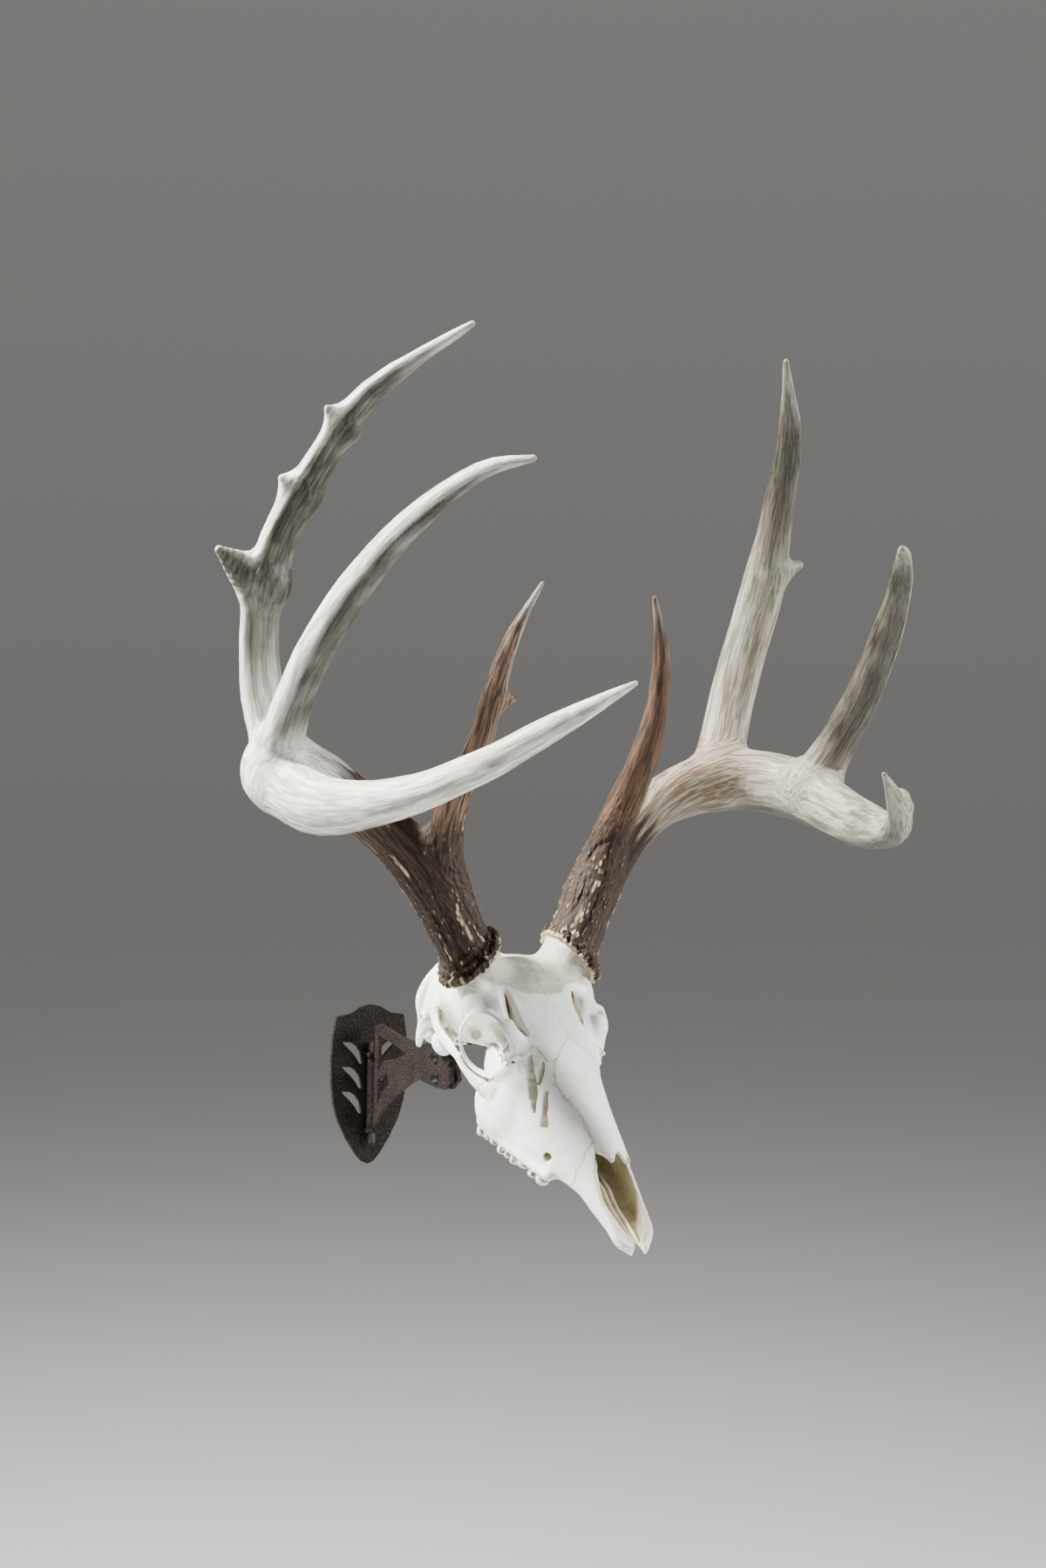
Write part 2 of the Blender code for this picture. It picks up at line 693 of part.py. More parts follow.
# ---------------------------------------------------------------- bracket
def flat_plate(name, outlines, thickness, matrix):
    """A sheet cut to a closed outline, with any further outlines as its holes."""
    curve = bpy.data.curves.new(name, "CURVE")
    curve.dimensions = "2D"
    curve.fill_mode = "BOTH"
    curve.extrude = thickness / 2 * MM
    for outline in outlines:
        spline = curve.splines.new("POLY")
        spline.points.add(len(outline) - 1)
        for point, (u, v) in zip(spline.points, outline):
            point.co = (u * MM, v * MM, 0, 1)
        spline.use_cyclic_u = True
    obj = bpy.data.objects.new(name, curve)
    obj.matrix_world = matrix
    CUTTERS.objects.link(obj)
    graph = bpy.context.evaluated_depsgraph_get()
    graph.update()
    mesh = bpy.data.meshes.new_from_object(obj.evaluated_get(graph))
    bm = bmesh.new()
    bm.from_mesh(mesh)
    bmesh.ops.remove_doubles(bm, verts=bm.verts, dist=1e-6)
    bmesh.ops.transform(bm, matrix=matrix, verts=bm.verts)
    bpy.data.objects.remove(obj, do_unlink=True)
    return link_mesh(name, bm, CUTTERS)


def across_wall(offset):
    """Places a sheet drawn as (x, z) flat against the wall, its middle so far out from it."""
    return Matrix.Translation((0, -offset * MM, 0)) @ Matrix.Rotation(math.pi / 2, 4, "X")


def out_from_wall(x):
    """Places a sheet drawn as (distance from the wall, z) square to the wall, at x."""
    return Matrix(((0, 0, 1, x * MM), (-1, 0, 0, 0), (0, 1, 0, 0), (0, 0, 0, 1)))


def cylinder(name, start, end, radius, sides=ROUND_SIDES, tip_radius=None):
    """A round bar between two world points in mm, tapered if it has a tip radius."""
    start, end = Vector(start), Vector(end)
    bm = bmesh.new()
    turn = (end - start).to_track_quat("Z", "Y").to_matrix().to_4x4()
    middle = Matrix.Translation((start + end) / 2 * MM)
    bmesh.ops.create_cone(
        bm, cap_ends=True, segments=sides, radius1=radius * MM,
        radius2=(radius if tip_radius is None else tip_radius) * MM,
        depth=(end - start).length * MM, matrix=middle @ turn,
    )
    return link_mesh(name, bm, CUTTERS)


def plate_outline():
    """A shield: a low hump on top, bowed sides and a rounded point below."""
    return [*PLATE_EDGE, *((-x, z) for x, z in reversed(PLATE_EDGE[1:-1]))]


def slot_outline(top, side):
    return [(side * x, top + z) for x, z in SLOT]


def hand_in_pivot(name, plate, spine, end_z, up):
    """A lug on the plate at one end of the spine, and the pin that goes through it."""
    lug_depth = SPINE_Y + SPINE_RADIUS - OVERLAP
    lug_z = end_z + up * (GAP + LUG_THICK / 2)
    bm = bmesh.new()
    size = Matrix.Diagonal((LUG_WIDTH * MM, lug_depth * MM, LUG_THICK * MM, 1))
    middle = Matrix.Translation((0, -(OVERLAP + lug_depth / 2) * MM, lug_z * MM))
    bmesh.ops.create_cube(bm, size=1, matrix=middle @ size)
    boolean(plate, link_mesh("lug", bm, CUTTERS), "UNION")

    def upright(label, start, end, radius):
        return cylinder(label, (0, -SPINE_Y, start), (0, -SPINE_Y, end), radius, PIVOT_SIDES)

    head_radius, head_height = PIVOT_HEAD
    head_z = lug_z + up * (LUG_THICK / 2 + GAP)
    pin = upright(name, head_z, head_z + up * head_height, head_radius)
    shank_end, hole_end = (end_z - up * depth for depth in (PIVOT_DEPTH, PIVOT_DEPTH + GAP))
    above = head_z + up * OVERLAP
    boolean(pin, upright("shank", shank_end, above, PIVOT_SHANK_RADIUS), "UNION")
    hand_in(bake(pin), name, "steel_screw")
    for solid in (plate, spine):
        boolean(solid, upright("hole", hole_end, above, PIVOT_SHANK_RADIUS + GAP))


def hand_in_bolt(name, y, z, face, sheets):
    """A domed bolt through the sheets with a nut on the far side, both standing off them by a gap."""
    for sheet in sheets:
        drill = cylinder("hole", (-THROUGH, -y, z), (THROUGH, -y, z), BOLT_SHANK_RADIUS + GAP)
        boolean(sheet, drill)

    def across(label, start, end, radius, sides=ROUND_SIDES, tip_radius=None):
        return cylinder(label, (start, -y, z), (end, -y, z), radius, sides, tip_radius)

    bolt = across(name, -face, -face - BOLT_HEAD_HEIGHT, BOLT_HEAD_RADIUS, tip_radius=BOLT_CROWN_RADIUS)
    shank = across("shank", -face - OVERLAP, face + OVERLAP, BOLT_SHANK_RADIUS)
    boolean(bolt, shank, "UNION")
    boolean(bolt, across("nut", face, face + NUT_HEIGHT, BOLT_HEAD_RADIUS, NUT_SIDES), "UNION")
    hand_in(bake(bolt), name, "black_bolt")


def hand_in_plate():
    """The wall plate with its hinge spine and the two pins that hold the spine."""
    slots = [slot_outline(top, side) for top in SLOT_TOPS for side in SIDES.values()]
    plate = flat_plate("plate", [plate_outline(), *slots], PLATE_THICK, across_wall(PLATE_THICK / 2))
    spine = cylinder("spine", (0, -SPINE_Y, SPINE_Z[0]), (0, -SPINE_Y, SPINE_Z[1]), SPINE_RADIUS)
    hand_in_pivot("pivot_bottom", plate, spine, SPINE_Z[0], -1)
    hand_in_pivot("pivot_top", plate, spine, SPINE_Z[1], 1)
    hand_in(bake(plate), "wall_plate", "brown_powder_coat")
    hand_in(bake(spine), "hinge_spine", "brown_powder_coat")


def bracket_nodes():
    hand_in_plate()
    arm = flat_plate("arm", [ARM_OUTLINE, *ARM_WINDOWS], SHEET, out_from_wall(0))
    prong = flat_plate("prong", [PRONG_OUTLINE], SHEET, out_from_wall(0))
    cheek_x = SHEET + GAP
    cheeks = {
        letter: flat_plate("cheek", [CHEEK_OUTLINE], SHEET, out_from_wall(side * cheek_x))
        for letter, side in SIDES.items()
    }
    bolt_face = cheek_x + SHEET / 2 + GAP
    for name, (y, z) in zip(("bolt_upper", "bolt_lower"), BOLT_PLACES):
        hand_in_bolt(name, y, z, bolt_face, (prong, *cheeks.values()))
    hand_in(arm, "arm_plate", "brown_powder_coat")
    hand_in(bake(prong), "skull_prong", "brown_powder_coat")
    for letter, cheek in cheeks.items():
        hand_in(bake(cheek), "head_cheek_" + letter, "brown_powder_coat")


# ---------------------------------------------------------------- the whole
skull_nodes()
for side_letter, side_sign in SIDES.items():
    antler_nodes(side_letter, side_sign)
bracket_nodes()
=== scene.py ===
"""Looks of the deer skull with antlers on its swivel wall bracket.

Bones and antlers are sculpted as distance fields in the skull's own frame in millimetres:
x to the deer's left, f forward from the back of the condyles, z up from the chewing line
of the teeth. An antler is sculpted with x outward. The bracket keeps its solids and only
gets its materials here.
"""
import math
from itertools import combinations, product

import bmesh
import bpy
import numpy as np
from mathutils import Matrix, Vector


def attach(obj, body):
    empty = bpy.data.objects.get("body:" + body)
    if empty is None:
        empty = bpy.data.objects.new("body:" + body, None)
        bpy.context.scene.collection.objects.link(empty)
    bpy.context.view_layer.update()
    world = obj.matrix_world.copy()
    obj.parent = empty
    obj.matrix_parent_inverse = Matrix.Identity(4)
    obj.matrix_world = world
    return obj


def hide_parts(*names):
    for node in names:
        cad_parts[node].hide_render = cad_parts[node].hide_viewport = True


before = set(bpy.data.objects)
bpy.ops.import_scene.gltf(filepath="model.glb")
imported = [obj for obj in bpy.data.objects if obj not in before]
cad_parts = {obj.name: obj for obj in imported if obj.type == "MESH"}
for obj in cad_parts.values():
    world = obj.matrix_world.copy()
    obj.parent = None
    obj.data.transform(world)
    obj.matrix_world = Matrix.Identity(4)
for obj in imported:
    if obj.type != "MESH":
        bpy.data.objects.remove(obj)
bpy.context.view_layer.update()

# ---------------- driving dimensions, mm
MM = 0.001
SKULL_PITCH = math.radians(22.4)
SKULL_BACK = 112.0              # back of the condyles in front of the wall
SKULL_RISE = 40.0               # back of the condyles above the plate's centre
SIDES = {"R": -1, "L": 1}

BONE_STEP = 0.7                 # grid of the skull's field
ANTLER_STEP = 1.2               # grid of an antler's field
SEAM = 0.06                     # half the gap left between two bones

SKULL_LOW, SKULL_HIGH = (0, -12, -12), (64, 288, 124)   # corners of the left half's field

UPRIGHT, FORWARD = (0, 0, 1), (0, 1, 0)
# Rounded lumps and hollows: centre x f z, half size, and over how many mm they blend in
LUMPS = {
    "braincase": ((0, 44, 64), (38, 43, 32), 8),
    "nape": ((0, 18, 48), (34, 14, 36), 6),
    "cheek": ((36, 133, 28), (9.5, 22, 21), 7),
    "condyle": ((13, 5, 20), (9, 9, 13), 2.5),
    "ear_capsule": ((23, 34, 23), (7, 11, 9), 3),
    "rear_brow": ((36, 98, 90), (11, 15, 7.5), 7),
    "front_brow": ((40, 120, 82), (8, 13, 6), 6),
    "middle_brow": ((35, 109, 85), (10, 12, 6), 6),
    "temple": ((44, 92, 58), (12, 24, 16), 4),
    "base_hollow": ((21, 65, 36), (10, 15, 8.5), 2),
    "spinal_opening": ((0, 8, 25), (9, 36, 10), 2),
}
# Bars and channels: rows of x f z with half the thickness along and across the wide way, then the
# blend, and the wide way where it isn't upright
BARS = {
    "base": (((0, 5, 20, 8, 12), (0, 30, 28, 7, 12), (0, 62, 42, 7, 11), (0, 92, 52, 7, 9)), 4),
    "pedicle": (((24, 78, 86, 21, 20), (33, 73, 99, 20, 19), (39, 70, 110, 18.5, 18)), 8, FORWARD),
    "palate_wing": (((12, 78, 34, 12, 2.5), (13, 98, 26, 15, 2.5), (17, 118, 17, 10, 3)), 3),
    "cheek_arch": ((
        (43, 136, 39, 6, 3.5), (49, 124, 41, 4.5, 2.5), (53.5, 113, 45.5, 3.2, 2),
        (55.5, 103, 50.5, 3.2, 1.8), (55.5, 91, 52, 4.5, 1.7), (53.5, 77, 51.5, 4.5, 1.7),
        (49.5, 63, 50.5, 4, 2), (44, 48, 51, 4.2, 3), (37, 34, 52, 5.5, 5),
    ), 2.5),
    "brow_root": (((45, 90, 94, 9, 7), (50, 94, 86, 5, 3.5)), 5, FORWARD),
    "rear_socket_wall": (
        ((30, 96, 86, 5, 1.2), (27, 92, 74, 6, 1.0), (24, 88, 63, 4, 0.9)), 1.2, (0.3, 0.9, 0),
    ),
    "front_socket_wall": (
        ((27, 122, 78, 7, 1.0), (24, 112, 66, 7, 0.9), (22, 104, 54, 5, 0.9)), 1.2, (0.5, 0.8, 0),
    ),
    "socket_channel": (((27, 76, 52, 4.5, 4), (12, 56, 41, 3.5, 3.5)), 0.8),
    "ear_prong": (((30, 18, 34, 8, 4), (31, 15, 22, 5, 3), (29, 13, 11, 2.5, 2)), 4, FORWARD),
    "ear_tube": (((30, 34, 40, 6, 6), (41, 30, 42, 4.5, 4.5)), 2.5),
    "nape_ridge": ((
        (0, 10, 84, 4, 4), (14, 9, 80, 4, 4), (24, 8, 69, 4, 4), (31, 8, 57, 4, 4), (33, 9, 44, 4, 4),
        (29, 12, 30, 4, 3),
    ), 4, FORWARD),
    "snout_notch": ((
        (0, 236, 6, 9, 0.7), (0, 258, 1, 9, 0.9), (0, 264, -1, 9, 1.4), (0, 270, -2, 12, 2.8),
        (0, 276, -4, 14, 4.4), (0, 290, -7, 16, 6.5),
    ), 0.5),
    "ear_opening": (((36, 31, 42, 3, 3), (46, 29, 42, 3, 3)), 1),
    "snout_opening": (((23, 187, 21.3, 2.6, 2.4), (33, 203, 19, 4.4, 3.0)), 1.5),
    "cheek_hollow": (((47, 136, 27, 4, 1.5), (43.5, 152, 20.5, 4, 1.8), (39, 168, 18, 3, 1.5)), 4),
    "tooth_ridge": (((26, 197, 10, 4, 5), (30, 160, 9.5, 4.5, 7), (34, 124, 9.5, 4, 6)), 4),
}

# The face: f, roof z, shoulder x z, side x z, foot x z, floor z
FACE_STATIONS = (
    (54, 104, 30, 98, 37, 76, 14, 52, 48),
    (78, 112, 41, 95, 34, 78, 13, 54, 50),
    (96, 108, 51, 86, 32, 72, 12, 46, 42),
    (112, 101, 46, 88, 30, 62, 12, 30, 24),
    (128, 94, 37, 82, 36, 52, 29, 14, 13),
    (146, 86, 26, 77, 38, 42, 35, 9, 12),
    (165, 77, 18, 70, 34, 32, 32, 8, 11),
    (185, 67, 15, 60, 29, 27, 27, 8, 11),
    (202, 59, 13, 52, 23, 24, 20, 9, 11),
    (220, 50, 12, 43, 18, 20, 15, 8, 9),
    (240, 37, 12, 32, 17.5, 16, 13.5, 4, 5),
    (258, 24, 12.5, 20, 16, 10.5, 12.5, 0.5, 2),
    (269, 12, 10.5, 10, 14.2, 5.5, 11.5, -2.5, -0.5),
    (276.5, 2.5, 5, 1.5, 7.5, -1, 5.5, -4.5, -2.5),
)

# The nasal passage: f, half width, floor z
NASAL_PASSAGE = (
    (160, 6, 30), (185, 10, 24), (210, 13, 17), (226, 15, 12), (238, 15, 8), (252, 13, 4.5), (262, 10, 2),
    (268, 6.5, 0), (272, 3.5, -1.5), (276, 1.5, -2.5), (290, 1, -20),
)
WALL = 2.4                      # thickness of the bone round the passage
# The upper rim of the nose's opening beside and ahead of the nasal bones: f, z
NOSE_RIM = (
    (206, 120), (214, 60), (220.5, 44), (225, 37), (229.5, 30.5), (234, 27), (238.5, 23.5), (247, 17.5),
    (261, 11), (269, 6), (274, 2.5), (285, 0),
)
# The palatine strips between the two halves of the snout: f, top z
PALATE_STRIPS = ((214, 20), (228, 16.5), (238, 11.5), (250, 7.5), (262, 4.8), (271, 2), (279, -1.5))
# The nasal bones: half width at each f, and the f of their front edge at each x
NASAL_HALF = ((146, 3), (158, 17), (170, 19), (186, 15.2), (200, 12.4), (208, 11.4), (240, 11.4))
NASAL_FRONT = (
    (-14, 219), (-11.5, 221), (-8, 228), (-5.5, 232.5), (-3.5, 232.5), (-1, 228.5), (1, 228.5), (4, 233.5),
    (6, 234), (8.5, 228), (11, 231), (13, 225),
)

# Where three cuts part the bones: f at the top and at the bottom of the skull
CUT_TOP, CUT_BOTTOM = 130, -10
BRAINCASE_CUT, FOREHEAD_CUT, SNOUT_CUT = (38, 96), (168, 106), (216, 216)

SLIT_SIDES = (17, 60)           # the slits' inner and outer ends in x
# The slits before the orbit: f, z, half width
FACE_SLITS = (
    ((147, 72.5, 1.2), (152, 65, 1.8), (157.5, 58, 2.8), (163, 50, 2.8), (168.5, 42, 0.8)),
    ((155.5, 72, 0.8), (158.5, 66, 1.5), (161.5, 59.5, 1.2)),
    ((168, 57.5, 1.0), (171.5, 52, 1.6), (175.5, 45.5, 1.6), (180, 38.5, 2.8)),
)

# The groove over each eye, on the deer's right and left: x f z, half height and half width
EYE_GROOVES = {
    "R": (
        (28.5, 101, 98.5, 1, 0.6), (30, 112, 94.5, 3, 1.2), (30.5, 122, 90.5, 4, 2.2),
        (29, 130, 86.5, 2.5, 1.4), (27, 136, 83.5, 1, 0.5),
    ),
    "L": (
        (27.5, 102, 98.8, 1, 0.8), (24.5, 112, 96, 4, 2), (22.5, 121, 93.5, 3.5, 2),
        (20.5, 132, 89, 1, 0.6),
    ),
}
# Spots on both sides with painted shade in the skull's shaded pockets, partly discolouring from old tissue: x
# f z, radius, strength
SHADE_AND_STAIN_SPOTS = (
    (36, 46, 53, 17, 0.7), (34, 21, 32, 12, 0.7), (27, 106, 70, 13, 0.8), (24, 73, 50, 7, 1.0),
    (22, 92, 54, 8, 1.0), (37, 133, 79, 7, 0.4), (34, 151, 52, 6, 0.35), (43, 136, 45, 7, 0.4),
    (40, 150, 17, 9, 0.25), (32, 178, 14, 9, 0.25),
)
# The front of the painted shadow that the antlers cast over the forehead: x, f
CROWN_LINE = ((0, 114), (15, 110), (24, 101), (42, 94), (50, 84))

ORBIT = (45.5, 118.5, 67.5)
ORBIT_RIM_RADIUS = 22.2
ORBIT_DEPTH = 27.0
ORBIT_YAW = math.radians(24)    # how far the socket turns forward from sideways
# The socket's rim: first and last angle, half thickness both ways, how far outside the rim's radius,
# shift in x and f, blend, wide way
RIM_PARTS = (
    (-50, 60, 3.4, 3.0, 1.5, (-4.5, -1.5), 7, (0.9, 0.4, 0)),
    (-75, 105, 1.6, 1.5, 0, (0, 0), 5, (0.9, 0.4, 0)),
    (100, 290, 3.6, 1.3, 0, (-1.3, -2.2), 2, (0.5, 0.85, 0)),
)
# Pits deep in the socket: x f z, half size
SOCKET_PITS = (
    ((24, 68, 46), (3, 4, 5)), ((29, 79, 58), (3, 2.5, 3)), ((24, 98, 66), (3.5, 3, 5)),
    ((30, 118, 70), (4, 4, 7)), ((33, 110, 80), (3, 5, 3)),
)
# Crumbly bone before the socket: where it gathers, and pinholes in it with their radii
CRUMBS = ((34, 138, 75), (33, 142, 70), (34.5, 142.5, 63), (37, 137, 68))
PINHOLES = (((37.5, 137, 72), 1.5), ((35.5, 141, 66), 1.2), ((34, 143.5, 72), 1.0), ((38, 138.5, 62), 1.1))

TOOTH_ROW_FRONT = 197
TOOTH_ROW_X = (25, 34)          # how far out the row's first and last ends lie
TOOTH_LENGTHS = (9, 10, 10, 14, 16, 16)
TOOTH_WIDTHS = (8, 9, 10, 12, 13, 12)
TOOTH_LOBES = (1, 1, 1, 2, 2, 2)
LOBE_CHANCE = ((-1.2, -0.3, -0.8), (1.4, 0.8, 0.8))     # least and most shift in z, x and f
# Unevenness of the bones: share, size of its lumps, seed
BONE_RELIEF = ((0.3, 11, 61), (0.12, 4.5, 63), (0.05, 2.0, 62))

# Antlers, right side: x outward, f forward, z up, half the thickness along and across the wide way
BRANCHES = {
    "beam": (
        (39.5, 70, 107.5, 19, 19), (48, 63, 121, 19, 19), (69, 44, 155, 20, 18), (103, 21, 186, 18, 17),
        (142, 7, 208, 20.5, 17), (181, 9, 224, 23, 18), (208, 31, 234, 23, 17), (220, 72, 240, 22, 16),
        (216, 128, 246, 18.5, 14), (196, 177, 271, 13, 12), (167, 212, 306, 10, 9.5),
        (135, 234, 343, 7.5, 7), (98, 249, 377, 1.6, 1.6),
    ),
    "brow": (
        (62, 50, 152, 15, 13), (69, 45, 190, 13.5, 12), (72, 50, 226, 12, 10.5), (69, 60, 262, 10.5, 9),
        (68, 61, 300, 8, 7.5), (61, 57, 342, 5, 5), (46, 54, 379, 1.4, 1.4),
    ),
    "g2": (
        (183, 8, 226, 19, 15), (197, -15, 265, 17.5, 13), (205, -26, 318, 17, 11.5),
        (204, -24, 372, 16, 11), (193, -15, 421, 12, 10.5), (173, 1, 480, 8.5, 8), (128, 30, 537, 1.8, 1.8),
    ),
    "g3": (
        (221, 70, 244, 20, 15), (226, 79, 285, 14.5, 12), (225, 92, 330, 12.5, 11.5),
        (216, 108, 379, 11.5, 10.5), (199, 128, 428, 9, 8.5), (174, 151, 469, 5.5, 5.5),
        (152, 171, 485, 2, 2),
    ),
}
ANTLER_PARTS = ("base", "beam_mid", "beam_tip", "brow_tine", "g2_tine", "g3_tine")
# What the left antler's tips add to the right's in x, f and z, from which share of the length on
LEFT_TIPS = {
    "beam": ((1, 16, -45), 0.62),
    "brow": ((1, 1, -3), 0.38),
    "g2": ((-2, -1, 9), 0.38),
    "g3": ((-9, 5, -28), 0.3),
}
FLAT_YAW = math.radians(33)     # the tines' wide way, forward from straight outward
TINE_BLEND, POINT_BLEND = 13, 9
ANTLER_ROOM, BURR_ROOM = 32, 45     # room round the branches' lines and round the burr's centre
# Short points on the antlers: root x f z, tip x f z, root radius, tip radius
SHORT_POINTS = {
    "R": (
        ((208, -25, 340), (243, -27, 360), 18, 3.4),
        ((197, -18, 405), (212, -20, 413), 11.5, 2.2),
        ((182, -6, 454), (196, -9, 464), 10, 2.1),
        ((64, 60, 298), (53, 62, 299), 7, 2.8),
    ),
    "L": (
        ((208, -21, 383), (226, -16, 392), 11, 3),
        ((158, 226, 300), (146, 246, 303), 7, 2.2),
    ),
}
BURR_RADIUS = 24
BURR_FACING = (0.75, -0.2, 0.63)
BURR_PROFILE = ((0, 19), (1.5, 22), (4.5, 22.5), (9, 20.5), (15, 17.5))     # height, radius
PEARLS = 38                     # knobs in each ring round the burr
PEARL_ROWS = ((1.8, 24, 1.9), (5.2, 24.3, 2.3), (9.2, 20.8, 2.0))   # height, ring's radius, size
RIDGE_STRETCH = (1, 1, 12)      # ridges and pearls are longer than wide
PEARL_STRETCH = (1, 1, 2.8)
ANTLER_SEEDS = {"R": 3, "L": 103}
BROWN_BEAM = {"R": (120, 215), "L": (75, 160)}  # the run along which the beam's brown fades
# The darker side of each branch, painted shade with some weathering: the way it faces, and the run along
# which it sets in
BEAM_SHADE_AND_STAIN = ((-0.2, 0.1, -0.97), 0, 60)
SHADE_AND_STAIN_SIDES = {
    "R": {"beam": BEAM_SHADE_AND_STAIN, "g2": ((-0.35, 0.9, -0.25), 30, 100), "g3": ((-0.75, 0.45, -0.35), 0, 60)},
    "L": {"beam": BEAM_SHADE_AND_STAIN, "g2": ((-0.6, 0.8, -0.2), 130, 250), "g3": ((-0.75, 0.5, -0.3), 0, 60)},
}


def skull_to_world():
    """From the skull's frame (x, f, z in mm) to the world in metres."""
    metres = Matrix.Diagonal((MM, MM, MM, 1))
    place = Matrix.Translation((0, -SKULL_BACK, SKULL_RISE))
    forward_is_minus_y = Matrix.Diagonal((1, -1, 1, 1))
    return metres @ place @ Matrix.Rotation(SKULL_PITCH, 4, "X") @ forward_is_minus_y


SKULL = np.array(skull_to_world())


# ---------------- noise
AXIS_PRIMES = (73856093, 19349663, 83492791)
SEED_PRIME = 40503
BIT_MIXERS = ((15, 2246822519), (13, 3266489917))   # shift, factor
LOW_BITS = 0xFFFFFFFF


def cell_value(cells, seed):
    """A repeatable value from 0 to 1 for each whole-numbered cell."""
    x, y, z = (cells[..., axis].astype(np.int64) * prime for axis, prime in enumerate(AXIS_PRIMES))
    mixed = (x ^ y ^ z ^ (seed * SEED_PRIME)) & LOW_BITS
    for shift, factor in BIT_MIXERS:
        mixed = ((mixed ^ (mixed >> shift)) * factor) & LOW_BITS
    return (mixed ^ (mixed >> 16)) / LOW_BITS


def between_corners(part, value_at):
    """The values at a cell's eight corners, blended by the place within the cell."""
    total = np.zeros(len(part))
    for corner in product((0, 1), repeat=3):
        weight = np.prod(np.where(corner, part, 1 - part), axis=1)
        total += weight * value_at(corner)
    return total


def noise(points, size, seed):
    """Smooth noise from -1 to 1 whose lumps are about `size` across."""
    scaled = points / size
    base = np.floor(scaled)
    part = scaled - base
    part = part * part * (3 - 2 * part)
    return 2 * between_corners(part, lambda corner: cell_value(base + corner, seed)) - 1


def knob_distance(points, size, seed):
    """Distance to the nearest of scattered points, one to a cell, as a share of the cell's size."""
    scaled = points / size
    base = np.floor(scaled)
    nearest = np.full(len(points), 9.0)
    for step in product((-1, 0, 1), repeat=3):
        cell = base + step
        centre = cell + np.stack([cell_value(cell, seed + axis) for axis in range(3)], axis=-1)
        nearest = np.minimum(nearest, np.linalg.norm(scaled - centre, axis=-1))
    return nearest


def ramp(value, start, end):
    """0 before start, 1 after end, and smooth between."""
    share = np.clip((value - start) / (end - start), 0, 1)
    return share * share * (3 - 2 * share)


# ---------------- sculpting in distance fields
FAR = 30.0                      # the distance given to places far from every form
TINY = 1e-5                     # keeps a length from being nothing
MARGIN = 2                      # room round a form, besides its blend
RECESS_REACHES = (2, 5, 11)     # how far from the surface free room is looked for


def smooth_min(a, b, blend):
    """The nearer of two surfaces, with the corner between them filled over `blend` mm."""
    if blend <= 0:
        return np.minimum(a, b)
    share = np.clip(0.5 + 0.5 * (b - a) / blend, 0, 1)
    return b + (a - b) * share - blend * share * (1 - share)


def smooth_line(rows, steps):
    """Rows on a smooth curve through the given rows, so many steps to a span."""
    rows = np.asarray(rows, float)
    last = len(rows) - 1
    line = []
    for index in range(last):
        a, b, c, d = (rows[min(max(index + k, 0), last)] for k in (-1, 0, 1, 2))
        for t in np.arange(steps) / steps:
            line.append(0.5 * (2 * b + t * (c - a) + t * t * (2 * a - 5 * b + 4 * c - d)
                               + t ** 3 * (3 * b - a - 3 * c + d)))
    line.append(rows[-1])
    return np.array(line)


def unit(vector):
    return vector / np.linalg.norm(vector)


def radial_distance(parts, radii):
    """About how far places lie from an ellipsoid, from their offsets along its axes."""
    length = np.sqrt(sum(part * part for part in parts)) + TINY
    scaled = np.sqrt(sum((part / radius) ** 2 for part, radius in zip(parts, radii))) + TINY
    return length - length / scaled


def segment_distance(start, end, wide, at):
    """Distance to a bar between two rows (x, f, z, half along `wide`, half across it)."""
    step = end[:3] - start[:3]
    along = unit(step)
    across_wide = unit(wide - along * (wide @ along))
    across_thin = np.cross(along, across_wide)
    offset = [axis - origin for axis, origin in zip(at, start[:3])]
    share = np.clip(sum(o * s for o, s in zip(offset, step)) / (step @ step), 0, 1)
    offset = [o - share * s for o, s in zip(offset, step)]
    half_wide = start[3] + share * (end[3] - start[3])
    half_thin = start[4] + share * (end[4] - start[4])
    directions = (across_wide, across_thin, along)
    parts = [sum(o * d for o, d in zip(offset, direction)) for direction in directions]
    return radial_distance(parts, (half_wide, half_thin, np.sqrt(half_wide * half_thin)))


def ball(centre, radii, turn=0.0, tilt=0.0):
    """An ellipsoid, tilted about x and then turned about z, in degrees."""
    centre, radii = np.array(centre, float), np.array(radii, float)
    ct, st = math.cos(math.radians(turn)), math.sin(math.radians(turn))
    cx, sx = math.cos(math.radians(tilt)), math.sin(math.radians(tilt))
    turned = np.array(((ct, st, 0), (-st, ct, 0), (0, 0, 1))).T
    axes = turned @ np.array(((1, 0, 0), (0, cx, -sx), (0, sx, cx)))
    reach = radii.max()

    def distance(*at):
        offset = [axis - origin for axis, origin in zip(at, centre)]
        return radial_distance([sum(o * c for o, c in zip(offset, axes[:, k])) for k in range(3)], radii)

    return centre - reach, centre + reach, distance


